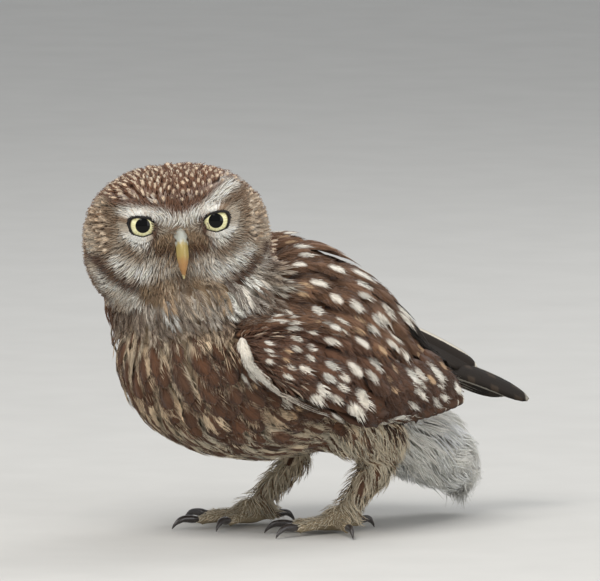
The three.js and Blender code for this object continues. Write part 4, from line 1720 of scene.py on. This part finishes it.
class OWL_OT_breast(bpy.types.Operator):
    """Grow the streaked feathers of the neck, the breast, the belly and the thighs"""

    bl_idname = "owl.breast"
    bl_label = "Breast"

    def execute(self, context):
        surface = skin_surface()
        random = draws(5)
        mask = region(surface, "breast") | region(surface, "neck") | region(surface, "thigh")
        below_head = (surface.face_middles - HEAD_CENTRE)[:, 2]
        collar = rise(below_head, -34, -27)
        pale = rise(below_head, -30, -25)
        spacing = 4.7 - 1.7 * collar
        roots, faces = scatter(surface, mask, spacing, 6)
        count = len(roots)
        gap = spacing[faces]
        bird = roots - SHIFT
        low = rise(-bird[:, 2], -56, -34)
        beside = rise(np.abs(bird[:, 0] + 4), 10, 24) * (1 - low)
        lengths = gap * random.uniform(3.1, 3.7, count)
        widths = gap * random.uniform(0.95, 1.15, count) * (1 - 0.25 * collar[faces])
        lift = gap * random.uniform(0, 0.14, count) - 1.4 * (1 - collar[faces])
        lines = run_lines(surface, roots, faces, lengths, 4, lift, random, 0.13)
        ground = varied(plumage_ground(lines.centres[:, 3], surface.face_kinds[faces]), random, 0.1)
        pale = pale[faces]
        # Painted shade: the ground is darker on the lower breast and belly. It is also a little darker just
        # under the head.
        ground = ground * (1 - 0.16 * low - 0.06 * pale)[:, None]
        mark = shades("breast_brown", count, random, 0.14)
        mark = blend(mark, ground * 0.55, 0.7 * pale)
        streak = random.uniform(0.42, 0.8, count) * (1 - 0.3 * low) + 0.22 * beside
        flank = rise(bird[:, 1], -28, -4)
        streak = np.where(random.random(count) < 0.22, 0.22, streak) * (1 - 0.5 * pale) * (1 - 0.5 * flank)
        spot = rows_of(0.0, streak, random.uniform(0.38, 0.6, count), random.uniform(0.58, 0.78, count))
        feathers = Feathers(lines, widths, lengths, (ground, mark, spot), 0.01)
        material = feather_material(*LOOSE_BARBS)
        growth = Growth()
        add_vanes(growth, feathers, ROUND_VANE, 0.16, 0.08, 0.76 - 0.5 * collar[faces])
        growth.finish("breast_feathers", material, "plumage_pale")
        parts = 3
        for part in range(parts):
            chosen = np.arange(count) % parts == part
            picked = Lines(lines.centres[chosen], lines.ups[chosen], lines.roots[chosen], lines.faces[chosen])
            looks = (ground[chosen], mark[chosen], spot[chosen])
            some = Feathers(picked, widths[chosen], lengths[chosen], looks, 0.01)
            growth = Growth()
            add_barbs_on_vanes(growth, some, 54, random, (0.13, 4.0, 0.3))
            growth.finish(f"breast_barbs_{part + 1}", material, "plumage_pale")
        return {"FINISHED"}


def spots_drawn(count, random, larger, lowest):
    """Colour, and place across, half sizes and place along, of the spots of so many feathers."""
    draw = random.random(count)
    white = shades("spot_white", count, random, 0.06, 0.01)
    mark = np.where((draw < 0.16)[:, None], colour("spot_buff"), white)
    scale = np.where(draw < 0.16, 0.7, 1.0) * np.where(draw > 0.94, 0.02, 1.0) * larger
    scale = scale * random.uniform(0.8, 1.2, count)
    tall = random.uniform(0.17, 0.25, count) * scale
    wide = random.uniform(0.24, 0.36, count) * scale
    return mark, rows_of(random.choice((0.0, 0.46), count), wide, tall, random.uniform(lowest, 0.8, count))


def grow_spotted(name, surface, mask, spacing, ground, random, seed):
    """Brown feathers with white spots on the masked skin, and the barbs that soften their edges."""
    roots, faces = scatter(surface, mask, spacing, seed)
    count = len(roots)
    gaps = np.broadcast_to(spacing, mask.shape)[faces]
    lengths = gaps * random.uniform(2.35, 2.75, count)
    widths = gaps * random.uniform(0.78, 0.92, count)
    lines = run_lines(surface, roots, faces, lengths, 5, random.uniform(0.0, 0.25, count), random, 0.08)
    bird = lines.centres[:, 3] - SHIFT
    lower = rise(-bird[:, 2], -70, -54)
    behind = behind_wing(lines.centres[:, 5] - SHIFT)
    rear = rise(bird[:, 1], 0, 30)
    # Painted shade: the back's and the wings' feathers are darker lower down and towards the rear.
    darker = 0.36 * lower + 0.16 * rear
    ground = shades(ground, count, random, 0.08, 0.02) * (1 - darker[:, None])
    ground = blend(ground, colour("flight_brown"), behind)
    bent = (lines.ups[:, 0] * lines.ups[:, 5]).sum(1) < 0.55
    # Towards the rear, fewer feathers are spotted, and their spots are larger.
    plain = np.maximum.reduce((behind, bent, random.random(count) < 0.5 * rear))
    mark, spot = spots_drawn(count, random, (1 + 0.2 * lower + 0.2 * rear) * (1 - 0.98 * plain), 0.7)
    feathers = Feathers(lines, widths, lengths, (ground, mark, spot), 0.016)
    material = feather_material(*BODY_VANES)
    growth = Growth()
    add_vanes(growth, feathers, ROUND_VANE, 0.14, 0.08, 0.86)
    growth.finish(name + "_feathers", material, "plumage_brown")
    growth = Growth()
    add_barbs_on_vanes(growth, feathers, 110, random, (0.13, 4.2, 0.15))
    growth.finish(name + "_barbs", material, "plumage_brown")


class OWL_OT_back(bpy.types.Operator):
    """Grow the spotted feathers of the back, the shoulders and the rump"""

    bl_idname = "owl.back"
    bl_label = "Back"

    def execute(self, context):
        surface = skin_surface()
        near_nape = rise(-(surface.face_middles - SHIFT)[:, 1], 10, 45)
        spacing = 7.6 - 2.4 * near_nape
        mask = region(surface, "back")
        grow_spotted("back", surface, mask, spacing, "back_brown", draws(7), 8)
        return {"FINISHED"}


def rear_edge_lines(surface, hand, share, inward, length, over, steep):
    """Lines that end along the folded wing's lower rear edge, or inward of it by a distance."""
    steps = 8
    end_y = 19 + 35.5 * share - 0.8 * inward
    end_z = 45.8 + 2.4 * share**2 + 0.6 * inward
    run = np.linspace(0, 1, steps)[None, :]
    y = end_y[:, None] - length * (1 - run)
    z = end_z[:, None] + length * (steep + 0.1 * share)[:, None] * (1 - run) ** 1.2
    flat = rows_of(hand * 48.0, y, z) + SHIFT
    found, faces = surface.nearest(flat.reshape(-1, 3))
    found, faces = found.reshape(len(share), steps, 3), faces.reshape(len(share), steps)
    lay = over[0] * (1 - run) + over[1] * run + 0.3 * (1 - share)[:, None]
    routes = rows_of(found[..., 0] + hand * lay, flat[..., 1], flat[..., 2])
    ups = np.tile(unit(np.array([hand * 0.95, 0.0, 0.3])), (len(share), steps, 1))
    return Lines(routes, ups, found[:, 0], faces[:, 0])


class OWL_OT_wings(bpy.types.Operator):
    """Grow the coverts of both folded wings"""

    bl_idname = "owl.wings"
    bl_label = "Wing coverts"

    def execute(self, context):
        surface = skin_surface()
        bird = surface.face_middles - SHIFT
        shoulder = rise(-bird[:, 1], 20, 50) * rise(bird[:, 2], 52, 70)
        for name, hand in SIDES:
            mask = region(surface, "wing") & (hand * bird[:, 0] > 0)
            spacing = 7.9 - 2.6 * shoulder - 2.2 * rise(-bird[:, 1], 50, 62)
            grow_spotted(f"wing_{name}", surface, mask, spacing, "wing_brown", draws(9 + hand), 12 + hand)
            self.add_last_rows(surface, name, hand)
            self.add_shoulder(surface, name, hand, mask & (bird[:, 1] < -42))
        return {"FINISHED"}

    def add_shoulder(self, surface, name, hand, mask):
        """Adds the small loose feathers at the wing's bend, under the roots of the coverts."""
        random = draws(70 + hand)
        roots, faces = scatter(surface, mask, 0.95, 72 + hand)
        count = len(roots)
        lengths = random.uniform(4.5, 7.0, count)
        lines = run_lines(surface, roots, faces, lengths, 3, random.uniform(-0.6, 0.2, count), random, 0.2)
        ground = shades("wing_brown", count, random, 0.14)
        pale = rise(random.random(count), 0.86, 0.9)
        ground = blend(ground, colour("crown_cream"), pale * 0.7)
        given = (lines, lengths, ground, random)
        grow_free_barbs(f"wing_{name}_bend", BODY_VANES, "plumage_brown", *given, (0.22, 0.42), 0.3)

    def add_last_rows(self, surface, name, hand):
        """Adds three more rows of spotted coverts, which lie over the secondaries."""
        random = draws(60 + hand)
        growth = Growth()
        for row in (0, 1, 2):
            count = 8
            share = np.linspace(0.04, 1, count) - 0.07 * (row == 1) + random.normal(0, 0.015, count)
            inward = 3.5 + 6.0 * row + random.uniform(-1.6, 1.6, count)
            lines = rear_edge_lines(surface, hand, share, inward, 14.0, (0.3, 1.0 + 0.5 * row), 0.7)
            ground = shades("wing_brown", count, random, 0.08, 0.02) * 0.8
            plain = random.random(count) < 0.45
            mark, spot = spots_drawn(count, random, 1.4 - 1.38 * plain, 0.66)
            widths, lengths = random.uniform(3.8, 4.6, count), np.full(count, 17.0)
            feathers = Feathers(lines, widths, lengths, (ground, mark, spot), 0.012)
            add_vanes(growth, feathers, ROUND_VANE, 0.2, 0.08, 0.88)
            add_barbs_on_vanes(growth, feathers, 80, random, (0.13, 3.6, 0.1))
        growth.finish(f"wing_{name}_last_rows", feather_material(*BODY_VANES), "plumage_brown")


# Front and lower edge of the folded wing, as places back along the bird and up, from the bend to the belly.
WING_EDGE = ((-70, 86), (-69, 76), (-65.5, 67), (-58, 61), (-47, 55.5), (-34, 51), (-18, 48))


class OWL_OT_edges(bpy.types.Operator):
    """Set the white feathers along the front edge of each folded wing"""

    bl_idname = "owl.edges"
    bl_label = "Wing edges"

    def execute(self, context):
        surface = skin_surface()
        material = feather_material(*BODY_VANES)
        for name, hand in SIDES:
            random = draws(40 + hand)
            path = [(hand * 46, y, z) for y, z in WING_EDGE]
            fine, _ = smooth_curve(np.array(path, float) + SHIFT, 60)
            on_skin, faces = surface.nearest(fine)
            ups = surface.face_normals[faces]
            fine = on_skin + ups * (surface.face_depth[faces] + 0.5)[:, None]
            count = 18
            first = np.linspace(0, 42, count).astype(int)
            steps = first[:, None] + np.linspace(0, 12, 6).astype(int)
            shift = random.uniform(-0.8, 0.8, count)[:, None, None] * np.array([0, 0, 1.0])
            lines = Lines(fine[steps] + shift, ups[steps], on_skin[first], faces[first])
            lengths = np.linalg.norm(np.diff(lines.centres, axis=1), axis=2).sum(1)
            widths = 0.4 + 2.3 * near(np.linspace(0, 1, count) - 0.12, 0.3)
            ground = shades("spot_white", count, random, 0.07, 0.02)
            looks = (ground, colour("breast_brown") + 0 * ground, np.array([[1.0, 0.3, 0.4, 0.7]]))
            feathers = Feathers(lines, widths, lengths, looks, 0.012)
            growth = Growth()
            add_vanes(growth, feathers, ROUND_VANE, 0.2, core=0.8)
            add_barbs_on_vanes(growth, feathers, 60, random, (0.1, 2.4, 0.2))
            growth.finish(f"wing_edge_{name}", material, "plumage_white")
        return {"FINISHED"}


# Least height of a leg barb's middle line over the floor.
LOWEST_BARB = 1.2


class OWL_OT_legs(bpy.types.Operator):
    """Grow the loose barbs of the legs and the short bristles of the feet"""

    bl_idname = "owl.legs"
    bl_label = "Legs"

    def execute(self, context):
        surface = skin_surface()
        random = draws(15)
        mask = region(surface, "thigh") | region(surface, "tarsus")
        roots, faces = scatter(surface, mask, 0.95, 16)
        count = len(roots)
        short = surface.face_kinds[faces] == KIND["tarsus"]
        lengths = np.where(short, 7.5, 11.0) * random.uniform(0.8, 1.25, count)
        lift = random.uniform(0.2, 2.4, count)
        lines = run_lines(surface, roots, faces, lengths, 3, lift, random, 0.2)
        ground = shades("flank_buff", count, random, 0.1)
        patch = np.sin(roots[:, 1] * 0.42 + roots[:, 2] * 0.3) * np.sin(roots[:, 2] * 0.37 + 1.3)
        brown = random.random(count) < 0.1 + 0.45 * rise(patch, 0.1, 0.7)
        ground[brown] = shades("disc_brown", count, random, 0.12)[brown]
        lines.centres[..., 2] = np.maximum(lines.centres[..., 2], LOWEST_BARB)
        given = (lines, lengths, ground, random)
        grow_free_barbs("leg_barbs", LEG_BARBS, "plumage_pale", *given, (0.2, 0.34), 0.6)
        mask = region(surface, "toe") | region(surface, "foot")
        mask = mask & (surface.face_normals[:, 2] > -0.1)
        roots, faces = scatter(surface, mask, 0.75, 17)
        count = len(roots)
        lengths = random.uniform(1.8, 3.4, count)
        lines = run_lines(surface, roots, faces, lengths, 2, random.uniform(0, 0.6, count), random, 0.3)
        ground = shades("flank_buff", count, random, 0.12)
        given = (lines, lengths, ground, random)
        grow_free_barbs("toe_bristles", LEG_BARBS, "toe", *given, (0.13, 0.22), 0.2, SHORT_BARB)
        return {"FINISHED"}


class OWL_OT_down(bpy.types.Operator):
    """Grow the long white fluff under the tail, in locks that draw together at their tips"""

    bl_idname = "owl.down"
    bl_label = "Undertail down"

    def execute(self, context):
        surface = skin_surface()
        random = draws(18)
        mask = region(surface, "undertail")
        roots, faces = scatter(surface, mask, 0.64, 19)
        centres, _ = scatter(surface, mask, 4.6, 23)
        count, locks = len(roots), len(centres)
        lock = np.argmin(((roots[:, None] - centres[None]) ** 2).sum(2), axis=1)
        end = rise((roots - SHIFT)[:, 1], 46, 66)
        stray = random.random(locks) > 0.55
        long = random.uniform(11, 17, locks)[lock] + 5.0 * end * stray[lock]
        lengths = long * random.uniform(0.75, 1.05, count)
        lift = (0.6 + 3.4 * end) * random.random(locks)[lock] + random.uniform(0, 0.9, count)
        yaw = random.normal(0, 0.2, locks)[lock]
        lines = run_lines(surface, roots, faces, lengths, 4, lift, random, 0.07, yaw)
        share = np.linspace(0, 1, 5)[None, :, None]
        together = (centres[lock] - roots)[:, None] * 0.55 * share**1.5
        # The rear locks hang free of the body and point back and down.
        free = np.array([0, 1.5, -2.7]) * (end * (1 + 1.2 * stray[lock]))[:, None, None] * share**2
        lines = Lines(lines.centres + together + free, lines.ups, roots, faces)
        shade = np.random.default_rng(4).normal(1, 0.04, locks)[lock][:, None]
        ground = varied(np.tile(colour("down_white"), (count, 1)) * shade, random, 0.03, 0.01)
        given = (lines, lengths, ground, random)
        grow_free_barbs("undertail_down", LOOSE_BARBS, "plumage_white", *given, (0.17, 0.32), 0.5)
        return {"FINISHED"}


# Flight feathers.

QUILL_RING = ((-1, 0), (-0.5, 0.55), (0, 1), (0.5, 0.55), (1, 0), (0, -0.6))
QUILL_STATIONS = (0, 0.06, 0.14, 0.24, 0.36, 0.48, 0.6, 0.7, 0.79, 0.87, 0.93, 0.975)
QUILL_WIDTHS = (0.2, 0.5, 0.78, 0.93, 1.0, 1.0, 1.0, 0.98, 0.93, 0.82, 0.64, 0.4)
QUILL = blade(QUILL_STATIONS, QUILL_WIDTHS, QUILL_RING)


def grow_quills(name, material, replaced, routes, ups, sizes, thickness, looks, cells):
    """A piece of long vanes on routes of their own. Each is laid in its own cell of the bake map."""
    growth, count = Growth(), len(routes)
    widths, lengths = (np.broadcast_to(size, count) for size in sizes)
    lines = Lines(routes, ups, routes[:, 0], np.zeros(count, int))
    x, y, z = corner_grid(QUILL, count)
    up = z * thickness - 0.12 * x**2 * widths[:, None]
    places = lines.at(np.arange(count), x * widths[:, None], y, up)
    column, row = (number[:, None] for number in (np.arange(count) % cells, np.arange(count) // cells))
    bake = rows_of((column + 0.5 + 0.42 * x) / cells, (row + 0.04 + 0.92 * y) / cells)
    add_drawn(growth, QUILL, places, x, y, (widths, lengths, np.arange(count) * 0.37), looks, bake)
    growth.finish(name, material, "flight_feathers", replaced)


def routes_between(starts, ends, bows, steps=8):
    """Routes from starts to ends, bowed by a vector at their middle."""
    share = np.linspace(0, 1, steps)[None, :, None]
    return starts[:, None] * (1 - share) + ends[:, None] * share + bows[:, None] * (4 * share * (1 - share))


def make_primaries(name, hand):
    """The folded tips of a wing's primaries. The outermost has a broad pale edge."""
    random = draws(20 + hand)
    count = 7
    share = np.linspace(-1, 1, count)
    across = unit(np.array([hand * 0.76, 0, -0.65]))
    over = unit(np.array([hand * 0.62, -0.2, 0.75]))
    start = np.array([hand * 9.0, 38, 72.6]) + SHIFT
    end = np.array([hand * 2.8, 80.5, 55.4]) + SHIFT
    back = unit(end - start)
    starts = start + across * (share * 4.0)[:, None] - over * ((share + 1) * 0.7)[:, None]
    short = back * ((share + 1) * 5.0)[:, None]
    ends = end + across * (share * 1.2)[:, None] - short - over * ((share + 1) * 0.5)[:, None]
    bows = np.tile(np.array([0, 0, 0.8]), (count, 1))
    routes = routes_between(starts, ends, bows)
    ups = np.tile(over, (count, 8, 1))
    # The outermost is turned on its edge, so that its pale web shows along the top.
    routes[0] += over * 0.5
    ups[0] = unit(np.array([hand * 0.88, -0.1, 0.45]))
    lengths = np.linalg.norm(ends - starts, axis=1)
    ground = shades("flight_brown", count, random, 0.06, 0.01)
    mark = ground * 1.15
    mark[0] = colour("flight_rim")
    material = feather_material("primary vanes", 0.75, 0.0, streak=0.1, rim=0.7)
    piece = (f"primaries_{name}_vanes", material, ["primaries_" + name])
    grow_quills(*piece, routes, ups, (4.0, lengths), 0.3, (ground, mark, NO_SPOT), 3)


def make_secondaries(name, hand):
    """The tips of a wing's secondaries, which show along its lower and rear edges."""
    random = draws(26 + hand)
    count, length = 9, 38.0
    lines = rear_edge_lines(skin_surface(), hand, np.linspace(0, 1, count), 0.0, length, (0.2, 0.4), 0.24)
    ground = shades("wing_brown", count, random, 0.06, 0.01) * 0.7
    mark = np.tile(colour("flight_rim") * 0.9, (count, 1))
    material = feather_material("secondary vanes", 0.75, 0.0, bars=7.0, streak=0.1, rim=0.92)
    piece = (f"secondaries_{name}", material, ())
    grow_quills(*piece, lines.centres, lines.ups, (4.2, length), 0.25, (ground, mark, NO_SPOT), 3)


def make_tail():
    """Twelve tail feathers, the outer ones a little shorter, with faint bars and thin pale edges."""
    random = draws(24)
    count = 12
    share = np.linspace(-1, 1, count)
    order = np.abs(share)
    starts = rows_of(share * 6.0, 44, 66.4 - 1.2 * order) + SHIFT
    ends = rows_of(share * 7.5, 103.2 - 1.4 * order**2, 44.2 + 0.8 * order**2) + SHIFT
    bows = np.tile(np.array([0, 0, 2.0]), (count, 1))
    routes = routes_between(starts, ends, bows)
    routes[..., 2] -= (order * 1.5)[:, None]
    ups = unit(rows_of(share * 1.1, 0.35, 1))[:, None].repeat(8, 1)
    lengths = np.linalg.norm(ends - starts, axis=1)
    ground = shades("flight_brown", count, random, 0.06, 0.01)
    mark = np.where((order > 0.5)[:, None], colour("flight_rim") * 0.42, ground * 1.3)
    material = feather_material("tail vanes", 0.75, 0.0, bars=5.0, streak=0.1, rim=0.9)
    piece = ("tail_feathers", material, ["tail"])
    grow_quills(*piece, routes, ups, (5.6, lengths), 0.3, (ground, mark, NO_SPOT), 4)


class OWL_OT_flight(bpy.types.Operator):
    """Make the folded primaries and secondaries, and the tail feathers"""

    bl_idname = "owl.flight"
    bl_label = "Flight feathers"

    def execute(self, context):
        for name, hand in SIDES:
            make_primaries(name, hand)
            make_secondaries(name, hand)
        make_tail()
        return {"FINISHED"}


# The stage.

# Middle of the picture, from the floor between the feet: to the camera's right, and up.
PICTURE_RIGHT, PICTURE_UP = -3.85, 90.96
SENSOR = 36.0
# Lights: names, turns and heights in degrees, distances and sizes in metres, watts and tints.
LIGHTS = (
    ("key", 25, 52, 1.3, 0.8, 12, (1.0, 0.97, 0.93)),
    ("fill", 108, 8, 1.6, 1.2, 11, (0.98, 0.99, 1.0)),
    ("rim", 200, 45, 1.4, 0.8, 6, (1.0, 1.0, 1.0)),
)
ROOM_TINT, ROOM_STRENGTH = (0.9, 0.92, 0.95, 1), 0.52


def view_axes(azimuth, elevation):
    """The camera's right, up and viewing directions."""
    right = np.array([math.cos(azimuth), math.sin(azimuth), 0])
    flat = np.array([-math.sin(azimuth), math.cos(azimuth), 0])
    look = flat * math.cos(elevation) - np.array([0, 0, math.sin(elevation)])
    return right, np.cross(right, look), look


def add_camera(stage):
    """A long lens at the photo's viewing angle, and its frame."""
    right, up, look = view_axes(stage.azimuth, stage.elevation)
    middle = SHIFT + right * PICTURE_RIGHT + up * PICTURE_UP
    data = bpy.data.cameras.new("camera")
    data.sensor_width = SENSOR
    data.lens = SENSOR * stage.distance / stage.width_seen
    data.clip_end = 100
    camera = add_object("camera", data)
    axes = Matrix(np.stack([right, up, -look], 1).tolist()).to_4x4()
    place = middle * METRES - look * stage.distance
    camera.matrix_world = Matrix.Translation(Vector(place)) @ axes
    bpy.context.scene.camera = camera


def add_light(name, azimuth, height, distance, size, watts, tint):
    """A soft square light that shines on the owl from a turn and a height, in degrees."""
    data = bpy.data.lights.new(name, "AREA")
    data.shape = "SQUARE"
    data.size = size
    data.energy = watts
    data.color = tint
    light = add_object(name, data)
    a, e = math.radians(azimuth), math.radians(height)
    away = Vector((math.sin(a) * math.cos(e), -math.cos(a) * math.cos(e), math.sin(e)))
    aim = Vector((0, -0.01, 0.08))
    light.location = aim + away * distance
    light.rotation_euler = away.to_track_quat("Z", "Y").to_euler()
    light.visible_camera = False


def add_floor(stage):
    """A wide, round, pale floor."""
    mesh = bpy.data.meshes.new("floor")
    disc = bmesh.new()
    bmesh.ops.create_circle(disc, cap_ends=True, radius=stage.floor_radius, segments=96)
    disc.to_mesh(mesh)
    disc.free()
    mesh.materials.append(floor_material())
    add_object("floor", mesh)


class OWL_OT_stage(bpy.types.Operator):
    """Set the camera, the floor and soft studio lights"""

    bl_idname = "owl.stage"
    bl_label = "Stage"

    def execute(self, context):
        stage = context.scene.owl_stage
        context.scene.view_settings.view_transform = "Standard"
        add_camera(stage)
        add_floor(stage)
        for light in LIGHTS:
            add_light(*light)
        world = bpy.data.worlds.new("soft room")
        world.use_nodes = True
        room = world.node_tree.nodes["Background"].inputs
        room["Color"].default_value = ROOM_TINT
        room["Strength"].default_value = ROOM_STRENGTH
        context.scene.world = world
        return {"FINISHED"}


PIECES = (
    OWL_OT_stage,
    OWL_OT_skin,
    OWL_OT_eyes,
    OWL_OT_bill,
    OWL_OT_bristles,
    OWL_OT_claws,
    OWL_OT_face,
    OWL_OT_crown,
    OWL_OT_breast,
    OWL_OT_back,
    OWL_OT_wings,
    OWL_OT_edges,
    OWL_OT_legs,
    OWL_OT_down,
    OWL_OT_flight,
)


class OWL_PT_panel(bpy.types.Panel):
    """Lists the owl's pieces in the order that they are made"""

    bl_idname = "OWL_PT_panel"
    bl_label = "Little owl"
    bl_space_type = "VIEW_3D"
    bl_region_type = "UI"
    bl_category = "Owl"

    def draw(self, context):
        for group in (context.scene.owl_stage, context.scene.owl_coat, context.scene.owl_colours):
            box = self.layout.box()
            for name in group.bl_rna.properties.keys():
                if name not in ("name", "rna_type"):
                    box.prop(group, name)
        for piece in PIECES:
            self.layout.operator(piece.bl_idname)


CLASSES = (OwlColours, OwlCoat, OwlStage) + PIECES + (OWL_PT_panel,)


def register():
    """Registers the classes and the scene's settings."""
    for made in CLASSES:
        bpy.utils.register_class(made)
    bpy.types.Scene.owl_colours = PointerProperty(type=OwlColours)
    bpy.types.Scene.owl_coat = PointerProperty(type=OwlCoat)
    bpy.types.Scene.owl_stage = PointerProperty(type=OwlStage)


def unregister():
    """Takes the scene's settings and the classes away again."""
    del bpy.types.Scene.owl_stage
    del bpy.types.Scene.owl_coat
    del bpy.types.Scene.owl_colours
    for made in reversed(CLASSES):
        bpy.utils.unregister_class(made)


def main():
    """Makes every piece."""
    register()
    for piece in PIECES:
        family, name = piece.bl_idname.split(".")
        getattr(getattr(bpy.ops, family), name)()


if __name__ == "__main__":
    main()
